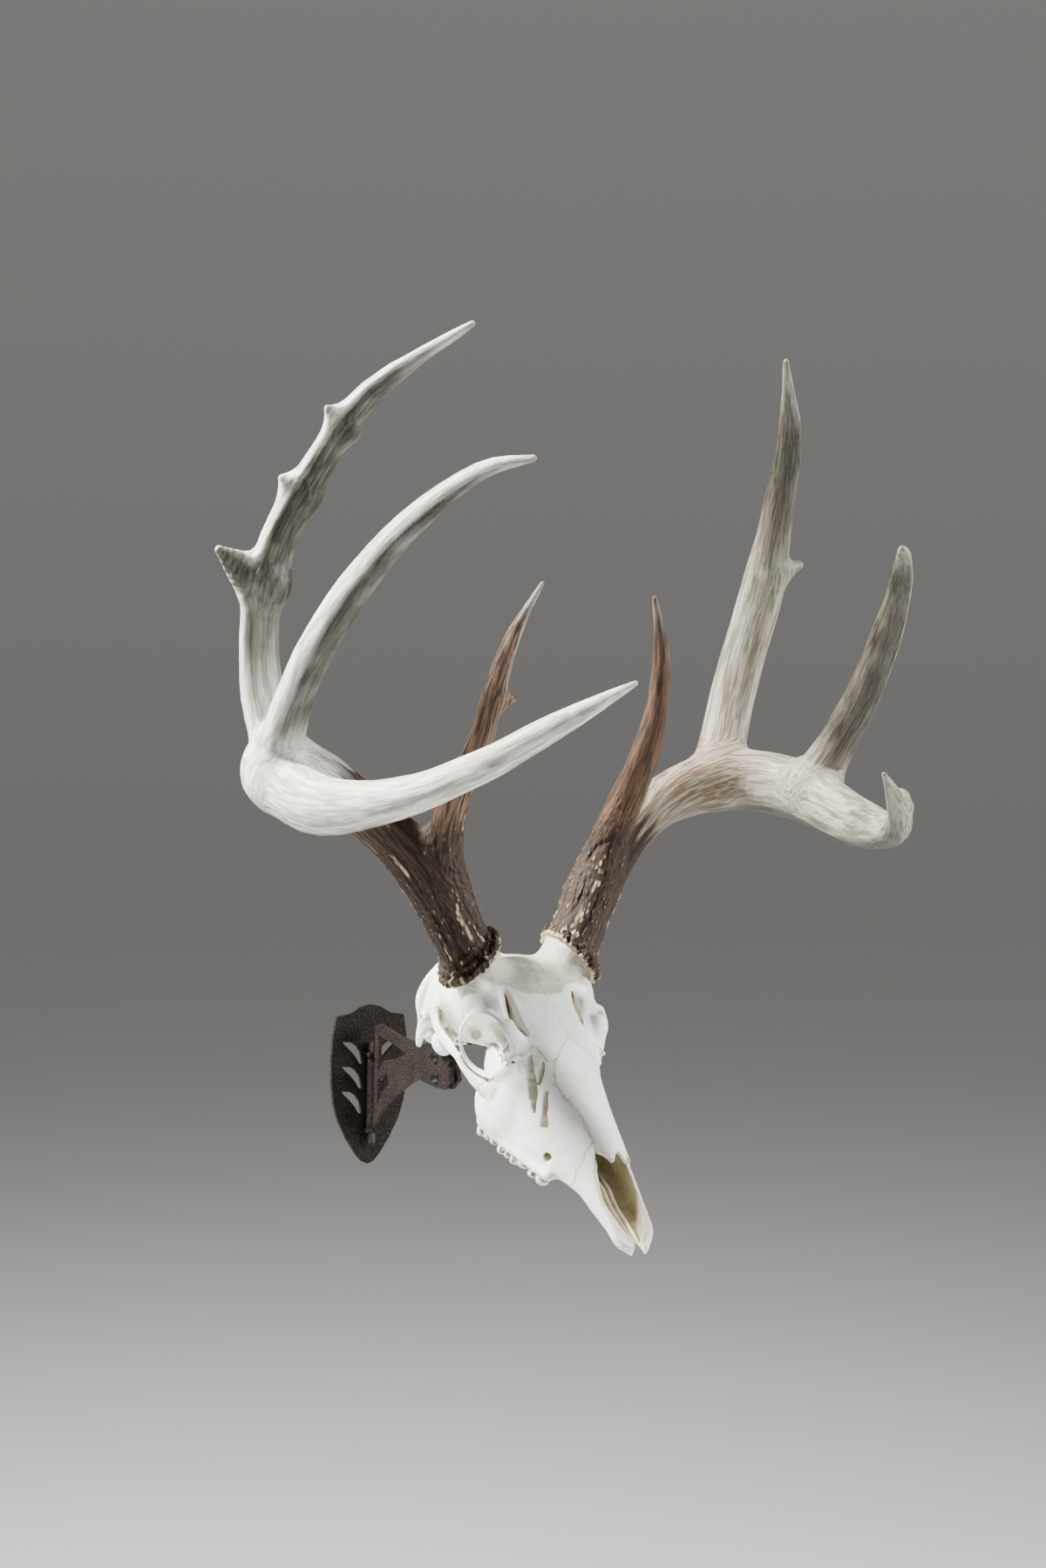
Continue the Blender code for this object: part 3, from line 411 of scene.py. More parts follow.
class Field:
    """Distances in mm to a solid's surface, on a grid of the skull's frame. Inside is negative."""

    def __init__(self, low, step, values):
        self.low = np.array(low, float)
        self.step = step
        self.values = values
        self.shape = np.array(values.shape)

    def like(self, values):
        return Field(self.low, self.step, values)

    def window(self, low, high):
        """The grid's spans between two corners, and the three axes of places in them."""
        first = np.floor((np.asarray(low) - self.low) / self.step).astype(int)
        last = np.ceil((np.asarray(high) - self.low) / self.step).astype(int) + 1
        first, last = np.clip(first, 0, self.shape), np.clip(last, 0, self.shape)
        lines = [low + self.step * np.arange(a, b) for low, a, b in zip(self.low, first, last)]
        axes = np.ix_(*[line.astype(np.float32) for line in lines])
        return tuple(slice(a, b) for a, b in zip(first, last)), axes

    def blend_in(self, spans, distance, blend, side):
        self.values[spans] = side * smooth_min(side * self.values[spans], distance, blend)

    def join(self, form, blend=0.0, side=1):
        low, high, distance = form
        spans, at = self.window(low - blend - MARGIN, high + blend + MARGIN)
        self.blend_in(spans, distance(*at), blend, side)

    def carve(self, form, blend):
        self.join(form, blend, side=-1)

    def bar_distance(self, rows, wide, margin):
        """Distance to a bar along rows (x, f, z, half along `wide`, half across it), in its window."""
        reach = rows[:, 3:5].max() + margin
        spans, _ = self.window(rows[:, :3].min(0) - reach, rows[:, :3].max(0) + reach)
        bar = np.full([span.stop - span.start for span in spans], FAR, np.float32)
        for start, end in zip(rows, rows[1:]):
            reach = max(start[3], start[4], end[3], end[4]) + margin
            low, high = np.minimum(start, end)[:3] - reach, np.maximum(start, end)[:3] + reach
            inner, at = self.window(low, high)
            local = tuple(slice(i.start - s.start, i.stop - s.start) for i, s in zip(inner, spans))
            bar[local] = np.minimum(bar[local], segment_distance(start, end, wide, at))
        return spans, bar

    def join_bar(self, rows, blend, wide=UPRIGHT, steps=4, side=1):
        wide = np.array(wide, float)
        spans, bar = self.bar_distance(smooth_line(rows, steps), wide, blend + MARGIN + 1)
        self.blend_in(spans, bar, blend, side)

    def carve_bar(self, rows, blend):
        self.join_bar(rows, blend, side=-1)

    def at(self, points):
        """The distance at any points, between the grid's."""
        place = np.clip((points - self.low) / self.step, 0, self.shape - 1.001)
        base = place.astype(int)
        return between_corners(place - base, lambda corner: self.values[tuple((base + corner).T)])

    def slope(self, points, reach=0.8):
        """Unit vectors straight out of the surface."""
        shifts = reach * np.eye(3)
        slope = np.stack([self.at(points + shift) - self.at(points - shift) for shift in shifts], axis=1)
        return slope / (np.linalg.norm(slope, axis=1, keepdims=True) + 1e-9)


def empty_field(low, high, step):
    shape = np.ceil((np.array(high) - np.array(low, float)) / step).astype(int) + 1
    return Field(low, step, np.full(shape, FAR, np.float32))


def net_points(values):
    """A point in each cell that the surface crosses, in cells, and the points' numbers by cell."""
    corners = list(product((0, 1), repeat=3))
    inside = values < 0
    count = np.zeros(np.array(values.shape) - 1, np.int8)
    for corner in corners:
        count += inside[tuple(slice(c, n - 1 + c) for c, n in zip(corner, values.shape))]
    active = (count > 0) & (count < 8)
    cells = np.argwhere(active)
    number = np.full(active.shape, -1, np.int32)
    number[active] = np.arange(len(cells))
    level = [values[tuple((cells + corner).T)] for corner in corners]
    total, crossings = np.zeros((len(cells), 3)), np.zeros(len(cells))
    for first, second in combinations(range(8), 2):
        a, b = corners[first], corners[second]
        if sum(abs(p - q) for p, q in zip(a, b)) != 1:
            continue
        crossing = (level[first] < 0) != (level[second] < 0)
        gap = np.where(crossing, level[first] - level[second], 1)
        share = np.where(crossing, level[first] / gap, 0)
        point = np.array(a) + share[:, None] * (np.array(b) - np.array(a))
        total += point * crossing[:, None]
        crossings += crossing
    return cells + total / crossings[:, None], number


def net_faces(inside, number):
    """A face across each of the grid's edges that the surface crosses, from the points' numbers."""
    faces = []
    for axis in range(3):
        u, v = (axis + 1) % 3, (axis + 2) % 3
        here = np.take(inside, range(inside.shape[axis] - 1), axis)
        there = np.take(inside, range(1, inside.shape[axis]), axis)
        edges = np.argwhere(here != there)
        for other in (u, v):
            edges = edges[(edges[:, other] > 0) & (edges[:, other] < inside.shape[other] - 1)]
        back_u, back_v = np.eye(3, dtype=int)[[u, v]]
        places = (edges - back_u - back_v, edges - back_v, edges, edges - back_u)
        quads = np.stack([number[tuple(place.T)] for place in places], axis=1)
        outward = here[tuple(edges.T)]
        faces.append(np.where(outward[:, None], quads, quads[:, ::-1]))
    return np.concatenate(faces)


def surface_net(field):
    """Points and four-sided faces of the surface where a field is zero."""
    points, number = net_points(field.values)
    return field.low + field.step * points, net_faces(field.values < 0, number)


def largest_piece(points, faces):
    """Only the piece with the most points, without the specks that a cut leaves."""
    label = np.arange(len(points))
    while True:
        lowest = label[faces].min(axis=1)
        fresh = label.copy()
        for k in range(4):
            np.minimum.at(fresh, faces[:, k], lowest)
        fresh = fresh[fresh]
        if np.array_equal(fresh, label):
            break
        label = fresh
    kept = label == np.bincount(label).argmax()
    order = np.cumsum(kept) - 1
    return points[kept], order[faces[kept[faces[:, 0]]]]


# ---------------- skull
def station_rows(stations, f):
    """The stations' columns at any f, on smooth curves."""
    stations = np.asarray(stations, float)
    keys, rows = stations[:, 0], stations[:, 1:]
    slopes = np.gradient(rows, keys, axis=0)
    index = np.clip(np.searchsorted(keys, f) - 1, 0, len(keys) - 2)
    span = (keys[index + 1] - keys[index])[:, None]
    t = np.clip((f - keys[index])[:, None] / span, 0, 1)
    return ((2 * t ** 3 - 3 * t ** 2 + 1) * rows[index] + (t ** 3 - 2 * t ** 2 + t) * span * slopes[index]
            + (3 * t ** 2 - 2 * t ** 3) * rows[index + 1] + (t ** 3 - t ** 2) * span * slopes[index + 1])


def outline_distance(line, x, z):
    """Signed distance from (x, z) to a half outline that starts and ends on x = 0."""
    nearest = np.full(np.broadcast(x, z).shape, 1e6)
    inside = np.zeros(nearest.shape, bool)
    for (x0, z0), (x1, z1) in zip(line, line[1:]):
        dx, dz = x1 - x0, z1 - z0
        t = np.clip(((x - x0) * dx + (z - z0) * dz) / (dx * dx + dz * dz + 1e-9), 0, 1)
        nearest = np.minimum(nearest, (x - x0 - t * dx) ** 2 + (z - z0 - t * dz) ** 2)
        if z0 != z1:
            inside ^= ((z0 > z) != (z1 > z)) & (x < x0 + (z - z0) / (z1 - z0) * dx)
    return np.sqrt(nearest) * np.where(inside, -1, 1)


def face_form():
    """The face and forehead as one loft of named sections."""
    rear, front = FACE_STATIONS[0][0], FACE_STATIONS[-1][0]

    def distance(x, f, z):
        line_f = f.ravel()
        values = np.empty(np.broadcast(x, f, z).shape, np.float32)
        rows = station_rows(FACE_STATIONS, np.clip(line_f, rear, front))
        for k, (roof, sx, sz, dx, dz, tx, tz, floor) in enumerate(rows):
            half = ((sx, sz), (dx, dz), (tx, tz))
            corners = [(-sx, sz), (0, roof), *half, (0, floor), (-tx, tz)]
            outline = smooth_line(corners, 6)[6:-6]
            outline[[0, -1], 0] = 0
            beyond = max(line_f[k] - front, rear - line_f[k])
            values[:, k] = np.maximum(outline_distance(outline, x[:, :, 0], z[0]), beyond)
        return values

    return np.array((0, rear, -6)), np.array((56, front, 114)), distance


def columns(rows, value):
    """Each further column of some rows, read at values of the first."""
    keys, *rest = zip(*rows)
    return [np.interp(value, keys, column) for column in rest]


def nasal_passage(face, x, f, z):
    """Signed distance to the hollow of the nose, which leaves walls of bone round it."""
    half, floor = columns(NASAL_PASSAGE, f)
    beside = np.abs(x) - half
    hollow = -smooth_min(-beside, -(floor - z), 3)
    return np.maximum(np.maximum(hollow, face + WALL), NASAL_PASSAGE[0][0] - f)


def plane_noise(u, v, size, seed):
    """Smooth noise over two of the grid's axes."""
    u, v = np.broadcast_arrays(u, v)
    points = np.stack([u.ravel(), v.ravel(), np.zeros(u.size)], axis=1)
    return noise(points, size, seed).reshape(u.shape).astype(np.float32)


def wiggle(u, v, seed):
    """How far a seam strays from its line."""
    return 1.3 * plane_noise(u, v, 6, seed) + 0.7 * plane_noise(u, v, 2.2, seed + 1)


def slit_form(line):
    """A ragged slit through the side of the face: a chain of f, z and half width."""
    line = np.asarray(line, float)
    reach = line[:, 2].max() + 1
    inner, outer = SLIT_SIDES

    def distance(x, f, z):
        nearest = np.full(np.broadcast(f, z).shape, 1e6)
        for (f0, z0, half0), (f1, z1, half1) in zip(line, line[1:]):
            df, dz = f1 - f0, z1 - z0
            t = np.clip(((f - f0) * df + (z - z0) * dz) / (df * df + dz * dz), 0, 1)
            away = np.sqrt((f - f0 - t * df) ** 2 + (z - z0 - t * dz) ** 2)
            nearest = np.minimum(nearest, away - half0 - t * (half1 - half0))
        nearest = nearest + 0.5 * plane_noise(f, z, 2.2, 41)
        return np.maximum(nearest, np.maximum(inner - x, x - outer))

    low = (inner, line[:, 0].min() - reach, line[:, 1].min() - reach)
    high = (outer, line[:, 0].max() + reach, line[:, 1].max() + reach)
    return np.array(low), np.array(high), distance


def add_forms(field, names, side=1):
    """Joins the named lumps and bars in this order, or carves them where side is -1."""
    for name in names:
        if name in LUMPS:
            centre, radii, blend = LUMPS[name]
            field.join(ball(centre, radii), blend, side)
        else:
            field.join_bar(*BARS[name], side=side)


def tooth_row_x(f):
    """How far out the tooth row lies at a place along it."""
    first, last = TOOTH_ROW_X
    return first + (last - first) * (TOOTH_ROW_FRONT - f) / sum(TOOTH_LENGTHS)


def join_lobe(field, middle, half, width, chance):
    """One lobe of a cheek tooth: body, outer and inner crest, the pit between and a fold outside."""
    out = tooth_row_x(middle)
    drop, spread, lean = chance.uniform(*LOBE_CHANCE)
    place = middle + lean
    field.join(ball((out + spread, place, 6 + drop), (width / 2 - 0.2, half + 0.7, 6.2)), 1.2)
    field.join(ball((out + width * 0.38, place, 4.5 + drop), (2.0, half * 0.6, 3.6)), 1.0)
    field.join(ball((out - width * 0.32, middle - lean, 4), (1.7, half * 0.55, 4.6)), 0.8)
    field.carve(ball((out + spread, place, -0.6 + drop), (1.6, half * 0.5, 2)), 0.8)
    field.carve(ball((out + width * 0.5 + 0.8, middle + half * 0.8, 4.6), (1.5, 0.9, 2.2)), 0.5)


def join_teeth(field):
    """The cheek teeth in their ridge of bone, with gaps between them."""
    add_forms(field, ("tooth_ridge",))
    chance = np.random.default_rng(12)
    front = TOOTH_ROW_FRONT
    for length, width, lobes in zip(TOOTH_LENGTHS, TOOTH_WIDTHS, TOOTH_LOBES):
        share = length / lobes
        for lobe in range(lobes):
            join_lobe(field, front - share * (lobe + 0.5), share / 2, width, chance)
        gap = front - length
        out = tooth_row_x(gap)
        field.carve(ball((out + width * 0.5, gap + chance.uniform(-0.5, 0.5), 3.0), (2.8, 1.1, 3.6)), 0.5)
        field.carve(ball((out - width * 0.5, gap, 2.5), (2.2, 0.7, 4.2)), 0.6)
        front -= length


def rim_rows(start, end, half_wide, half_thin, grow, shift):
    """Rows round the orbit between two angles, counted from the front upward, moved in x and f."""
    x, f, z = ORBIT
    radius = ORBIT_RIM_RADIUS + grow
    rows = []
    for angle in np.radians(np.linspace(start, end, 15)):
        ahead = radius * math.cos(angle)
        side, front = x - ahead * math.sin(ORBIT_YAW), f + ahead * math.cos(ORBIT_YAW)
        rows.append((side + shift[0], front + shift[1], z + radius * math.sin(angle), half_wide, half_thin))
    return rows


def carve_socket(field, shift, narrower, blend):
    """The eye's socket, moved in x, f and z and so much narrower than its rim."""
    radius = ORBIT_RIM_RADIUS - narrower
    socket = ball(np.add(ORBIT, shift), (ORBIT_DEPTH, radius, radius), math.degrees(ORBIT_YAW))
    field.carve(socket, blend)


def orbit_details(field):
    """The rim, the thin walls deep in the socket and the crumbly bone before it."""
    for *rim, blend, wide in RIM_PARTS:
        field.join_bar(rim_rows(*rim), blend, wide, steps=1)
    carve_socket(field, (3, 0.5, 0), 1.0, 0.6)
    add_forms(field, ("rear_socket_wall", "front_socket_wall"))
    add_forms(field, ("base_hollow", "socket_channel"), -1)
    for spot, radii in SOCKET_PITS:
        field.carve(ball(spot, radii, 20, 25), 1.2)
    chance = np.random.default_rng(21)
    for middle in CRUMBS:
        for _ in range(4):
            spot = np.array(middle) + chance.uniform(-3.0, 3.0, 3)
            field.join(ball(spot, chance.uniform(1.2, 2.6, 3)), 0.8)
    for spot, size in PINHOLES:
        field.carve(ball(spot, (2.4, size, size)), 0.4)


def open_nose(field, face):
    """The hollow of the nose, and the strips of the palate that run through it."""
    spans, (x, f, z) = field.window((0, 150, -12), (30, 288, 90))
    field.values[spans] = np.maximum(field.values[spans], -nasal_passage(face[spans], x, f, z))
    field.join_bar([(2.3, f, z - 2.5, 2.6, 1.1) for f, z in PALATE_STRIPS], 1)


def skull_field():
    """The left half of the skull as a distance field, and the face alone."""
    field = empty_field(SKULL_LOW, SKULL_HIGH, BONE_STEP)
    field.join(face_form())
    face = field.values.copy()
    add_forms(field, ("braincase", "nape", "base", "cheek", "pedicle"))
    add_forms(field, ("palate_wing", "condyle", "ear_capsule"))
    carve_socket(field, (2, 0, 0), 3, 2)
    add_forms(field, ("temple",), -1)
    add_forms(field, ("cheek_arch", "brow_root", "rear_brow", "front_brow", "middle_brow"))
    orbit_details(field)
    add_forms(field, ("ear_prong", "ear_tube", "nape_ridge"))
    open_nose(field, face)
    add_forms(field, ("snout_notch", "spinal_opening", "ear_opening", "snout_opening", "cheek_hollow"), -1)
    for slit in FACE_SLITS:
        field.carve(slit_form(slit), 0.7)
    join_teeth(field)
    return field, field.like(face)


def mirrored(field):
    """The whole skull's field from its left half's."""
    low = (-field.step * (field.shape[0] - 1), *field.low[1:])
    return Field(low, field.step, np.concatenate([field.values[:0:-1], field.values]))


def carve_eye_grooves(whole):
    """The grooves run a little differently on the two sides, so they are cut in the whole skull."""
    for letter, side in SIDES.items():
        rows = [(side * x, *rest) for x, *rest in EYE_GROOVES[letter]]
        whole.carve_bar([(x + side * 1.8, f, z + 1, high, wide + 2.4) for x, f, z, high, wide in rows], 2.5)
        whole.carve_bar([(x, f, z - 2.5, high + 1, wide) for x, f, z, high, wide in rows], 0.6)


def bone_regions(x, f, z):
    """Signed distances to the space of each bone, by name. Inside is negative."""
    out = np.abs(x)

    def cut(span, seed, bulge=0):
        top_f, bottom_f = span
        slope = (bottom_f - top_f) / (CUT_TOP - CUT_BOTTOM)
        tilt = 1 / math.hypot(1, slope)
        return (f - bulge - (top_f + (CUT_TOP - z) * slope) + wiggle(x, z, seed)) * tilt

    behind_pedicles = cut(BRAINCASE_CUT, 11)
    across_face = cut(FOREHEAD_CUT, 13, 15 * (1 - ramp(out, 18, 25)))
    snout = cut(SNOUT_CUT, 15)
    half, = columns(NASAL_HALF, f)
    front, = columns(NASAL_FRONT, x)
    rim, = columns(NOSE_RIM, f)
    strip = np.maximum(out - half + 0.6 * wiggle(f, z, 19), 70 - 0.5 * (f - 148) - z)
    strip = np.maximum(strip, (145.5 + 0.95 * out - f + 0.5 * wiggle(x, f, 27)) * 0.7)
    open_face = np.maximum(-strip, (z - rim) * 0.8)
    midline = 0.5 * wiggle(f, z, 23)
    regions = {
        "braincase": behind_pedicles,
        "frontal": np.maximum(np.maximum(-behind_pedicles, across_face), -strip),
        "nasals": np.maximum(strip, f - front),
    }
    for letter, side in SIDES.items():
        half_space = np.maximum(side * (midline - x), open_face)
        regions["maxilla_" + letter] = np.maximum(np.maximum(-across_face, snout), half_space)
        regions["premaxilla_" + letter] = np.maximum(-snout, half_space)
    return regions


def bone_mesh(whole, region):
    """The skull's part inside a region, with sharp edges where its skin meets the cut."""
    cut = whole.like(np.broadcast_to(region, whole.values.shape).astype(np.float32) + SEAM)
    solid = whole.like(np.maximum(whole.values, cut.values))
    points, faces = largest_piece(*surface_net(solid))
    for _ in range(3):
        for field in (whole, cut):
            away = np.maximum(np.abs(whole.at(points)), np.abs(cut.at(points)))
            edge = np.flatnonzero(away < whole.step)
            near = points[edge]
            points[edge] = near - 0.9 * field.slope(near, 0.4) * field.at(near)[:, None]
    return points, faces, cut


def seam_shade(name, points, cut):
    """1 along a bone's seams, and along the line where the frontal's halves have grown together."""
    seam = 1 - ramp(-cut.at(points), 0.2, 1.2)
    if name == "frontal":
        drift = 1.2 * noise(points, 7, 73) + 0.7 * noise(points, 2.4, 74)
        line = 1 - ramp(np.abs(points[:, 0] + drift), 0.15, 0.7)
        seam = np.maximum(seam, line * ramp(points[:, 2], 80, 84))
    return seam


def nose_shade(skin, points):
    """1 inside the nose, whose tan colour stands for thin bone and partly for painted shade in the passage,
    less on the strips of the palate.
    """
    x, f, z = points.T
    inside = 1 - ramp(nasal_passage(skin.at(points), x, f, z), 0.7, 1.6)
    rim, = columns(NOSE_RIM, f)
    strip_top, = columns(PALATE_STRIPS, f)
    on_strips = (np.abs(x) < 5.2) * ramp(z - strip_top, -2.5, -0.5) * ramp(f, 214, 222)
    nose = inside * ramp(f, 175, 190) * np.where(f < 222, 1, ramp(rim - z, 0.5, 4))
    return nose * (1 - 0.7 * on_strips)


def painted_shade_and_stain(points):
    """How much painted shade and discolouring the bone gets: round the spots, and the antlers' painted shadow
    over the crown.
    """
    out = np.abs(points[:, 0])
    paired = np.stack([out, *points.T[1:]], axis=1)
    drift = noise(points, 9, 71) + 0.5 * noise(points, 3.5, 72)
    clean = np.ones(len(points))
    for *spot, radius, strength in SHADE_AND_STAIN_SPOTS:
        away = np.linalg.norm(paired - spot, axis=1) + 0.18 * radius * drift
        clean *= 1 - strength * (1 - ramp(away, 0.45 * radius, radius))
    line, = columns(CROWN_LINE, out)
    crown = ramp(line + 1.5 * drift - points[:, 1], 0, 4)
    crown = crown * ramp(points[:, 2], 84, 94) * ramp(points[:, 1], 40, 60)
    return 1 - clean * (1 - 0.85 * crown)


def tooth_shade(points):
    """1 on the cheek teeth, which decay along their edges."""
    out, f, z = np.abs(points[:, 0]), points[:, 1], points[:, 2]
    return (1 - ramp(z, 6, 10)) * ramp(f, 112, 120) * (1 - ramp(f, 198, 204)) * ramp(out, 16, 20)


def add_skull():
    field, face = skull_field()
    whole, skin = mirrored(field), mirrored(face)
    carve_eye_grooves(whole)
    _, axes = whole.window(whole.low, whole.low + whole.step * whole.shape)
    for name, region in bone_regions(*axes).items():
        points, faces, cut = bone_mesh(whole, region)
        normals = whole.slope(points)
        outside = 1 - ramp(np.abs(whole.at(points)), 0.25, 0.6)
        shades = {
            # how deep each point lies in a hollow, which the bone material darkens as painted shade
            "hollow": recess(whole, points, normals),
            "seam": seam_shade(name, points, cut),
            "nose": nose_shade(skin, points),
            # painted shade, partly discolouring, at the spots, and the antlers' painted shadow on the crown
            "shade_and_stain": painted_shade_and_stain(points),
            "tooth": tooth_shade(points),
        }
        height = sum(share * noise(points, size, seed) for share, size, seed in BONE_RELIEF)
        points = points + normals * (height * outside * (1 - shades["seam"]))[:, None]
        piece = mesh_piece(name + "_bone", points, faces[:, ::-1], shades, MATERIALS["bone"])
        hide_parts(name)


# ---------------- antlers
def antler_rows(rows, letter, kind):
    """The stations of a beam or tine, x outward, with the left one's own tip."""
    shift, start = LEFT_TIPS[kind] if letter == "L" else ((0, 0, 0), 0)
    moved = np.array(rows, float)
    run = np.maximum(np.arange(len(rows)) / (len(rows) - 1) - start, 0) / (1 - start)
    moved[:, :3] += (run * run * (3 - 2 * run))[:, None] * np.array(shift)
    return smooth_line(moved, 4)


def antler_lines(letter):
    """Each branch's stations and the way in which it is wide."""
    flat = np.array((math.cos(FLAT_YAW), math.sin(FLAT_YAW), 0))
    lines = {}
    for kind, rows in BRANCHES.items():
        wide = np.array(UPRIGHT, float) if kind == "beam" else flat
        lines[kind] = (antler_rows(rows, letter, kind), wide)
    return lines


def lathe_form(base, away, profile):
    """A turned form on an axis: rows of height and radius."""
    heights, radii = zip(*profile)
    reach = max(radii) + max(heights) + 2

    def distance(x, f, z):
        offset = [axis - origin for axis, origin in zip((x, f, z), base)]
        height = sum(o * a for o, a in zip(offset, away))
        radial = np.sqrt(np.maximum(sum(o * o for o in offset) - height ** 2, 0))
        side = radial - np.interp(height, heights, radii)
        return np.maximum(0.85 * side, np.maximum(-height, height - heights[-1]))

    return base - reach, base + reach, distance


def join_burr(field, base, away, seed):
    """The knobbly ring that sits on the pedicle."""
    sideways = unit(np.cross(away, (0.3, 0.9, 0.1)))
    other = np.cross(away, sideways)
    chance = np.random.default_rng(seed)
    field.join(lathe_form(base, away, BURR_PROFILE), 3)
    for row, (height, out, size) in enumerate(PEARL_ROWS):
        for k in range(PEARLS):
            turn = 2 * math.pi * (k + 0.5 * row + chance.uniform(-0.3, 0.3)) / PEARLS
            spread = out + chance.uniform(-1.0, 0.9)
            up = height + chance.uniform(-0.9, 0.9)
            centre = base + away * up + (sideways * math.cos(turn) + other * math.sin(turn)) * spread
            field.join(ball(centre, np.full(3, size * chance.uniform(0.75, 1.3))), 0.8)


def antler_field(letter, lines, base, away):
    """One antler with x outward, as a distance field."""
    rows = np.concatenate([line for line, _ in lines.values()])
    low, high = rows[:, :3].min(0) - ANTLER_ROOM, rows[:, :3].max(0) + ANTLER_ROOM
    field = empty_field(low, high, ANTLER_STEP)
    for kind, (line, wide) in lines.items():
        field.join_bar(line, 0 if kind == "beam" else TINE_BLEND, wide, steps=1)
    for root, tip, radius, blunt in SHORT_POINTS[letter]:
        ends = np.array(((*root, radius, radius), (*tip, blunt, blunt)), float)
        field.join_bar((ends[0], ends[1] + (ends[0] - ends[1]) * 0.5, ends[1]), POINT_BLEND)
    join_burr(field, base, away, ANTLER_SEEDS[letter])
    spans, at = field.window(base - BURR_ROOM, base + BURR_ROOM)
    height = sum((axis - origin) * a for axis, origin, a in zip(at, base, away))
    field.values[spans] = np.maximum(field.values[spans], -height)
    return field


def along_line(points, line, wide):
    """Where points lie on a branch: distance in radii, the run along it, and offsets both ways."""
    nearest = np.full(len(points), np.inf)
    place = np.zeros((len(points), 3))
    headings = np.gradient(line[:, :3], axis=0)
    headings /= np.linalg.norm(headings, axis=1, keepdims=True)
    wides = wide - headings * (headings @ wide)[:, None]
    wides /= np.linalg.norm(wides, axis=1, keepdims=True)
    thins = np.cross(headings, wides)
    run = 0.0
    for k, (start, end) in enumerate(zip(line, line[1:])):
        step = end[:3] - start[:3]
        length = np.linalg.norm(step)
        offset = points - start[:3]
        share = np.clip(offset @ step / length ** 2, 0, 1)[:, None]
        offset = offset - share * step
        half_wide, half_thin = (start[3:] + share * (end[3:] - start[3:])).T
        a = np.einsum("ij,ij->i", offset, wides[k] + share * (wides[k + 1] - wides[k]))
        b = np.einsum("ij,ij->i", offset, thins[k] + share * (thins[k + 1] - thins[k]))
        c = offset @ step / length
        scaled = np.sqrt((a / half_wide) ** 2 + (b / half_thin) ** 2 + c * c / (half_wide * half_thin))
        nearer = scaled < nearest
        nearest[nearer] = scaled[nearer]
        place[nearer] = np.stack([run + share[:, 0] * length, a, b], axis=1)[nearer]
        run += length
    return nearest, place.T, run


def branch_tones(kind, letter, run, length, coarse, fine):
    """How young, how brown and how rusty a branch is along its run."""
    if kind == "beam":
        brown = 1 - ramp(run + 26 * coarse + 14 * fine, *BROWN_BEAM[letter])
        return 1 - ramp(run, 45, 150), brown, 1 - ramp(np.abs(run - 150), 40, 110)
    if kind == "brow":
        brown = 1 - 0.5 * ramp(run, 0.7 * length, length)
        return 1 - 0.85 * ramp(run, 25, 110), brown, np.zeros(len(run))
    rust = 0.8 * (1 - ramp(run, 20, 75)) * (kind == "g2")
    return np.full(len(run), 0.1), np.zeros(len(run)), rust


def branch_shade_and_stain(kind, letter, run, length, normals, coarse):
    """How much painted shade, with some weathering, darkens a branch on its darker side."""
    if kind not in SHADE_AND_STAIN_SIDES[letter]:
        return np.zeros(len(run))
    facing, start, full = SHADE_AND_STAIN_SIDES[letter][kind]
    edge = 0.55 if kind == "beam" else -0.2
    shade_and_stain = ramp(normals @ unit(np.array(facing)) + 0.2 * coarse, edge, edge + 0.4) * ramp(run, start, full)
    return shade_and_stain * (1 - 0.7 * ramp(run, 0.8 * length, length))


def antler_relief(points, normals, lines, letter):
    """Height in mm of the ridges and pearls, and the values that colour the surface."""
    weights, parts = [], []
    seed = ANTLER_SEEDS[letter]
    for index, (kind, (line, wide)) in enumerate(lines.items()):
        nearest, (run, a, b), length = along_line(points, line, wide)
        grain = np.stack([a, b, run], axis=1)
        coarse = noise(grain / RIDGE_STRETCH, 5.2, seed + index)
        fine = noise(grain / RIDGE_STRETCH, 2.4, seed + 10 + index)
        pearls = np.clip(1 - 1.9 * knob_distance(grain / PEARL_STRETCH, 2.5, seed + 40 + index), 0, 1)
        young, brown, rust = branch_tones(kind, letter, run, length, coarse, fine)
        # painted shade, with some weathering, on the side that each branch turns one way
        shade_and_stain = branch_shade_and_stain(kind, letter, run, length, normals, coarse)
        tip = 1 - ramp(run, 0.72 * length, 0.97 * length)
        groove = ramp(1 - np.abs(coarse), 0.75, 1.0)
        depth = (0.16 + 0.85 * young) * (0.1 + 0.9 * tip)
        height = depth * (0.35 * coarse + 0.25 * fine - 0.9 * groove) + 1.1 * young * pearls
        crest = 0.62 * pearls * young + 0.45 * ramp(0.6 * coarse + 0.55 * fine, 0.1, 0.8) - 0.4 * groove
        parts.append(np.column_stack((height, young, brown, groove, crest, rust, shade_and_stain, grain)))
        weights.append(np.exp(-9 * np.minimum(nearest, 8)))
    weights = np.array(weights)
    weights /= weights.sum(axis=0) + 1e-30
    mixed = np.einsum("kn,knc->nc", weights, np.array(parts))
    height, young = mixed[:, :2].T
    shades = dict(zip(("brown", "groove", "crest", "rust", "shade_and_stain"), mixed[:, 2:7].T))
    shades["grain"] = mixed[:, 7:]
    return height + 0.6 * noise(points, 24, seed + 50), young, shades


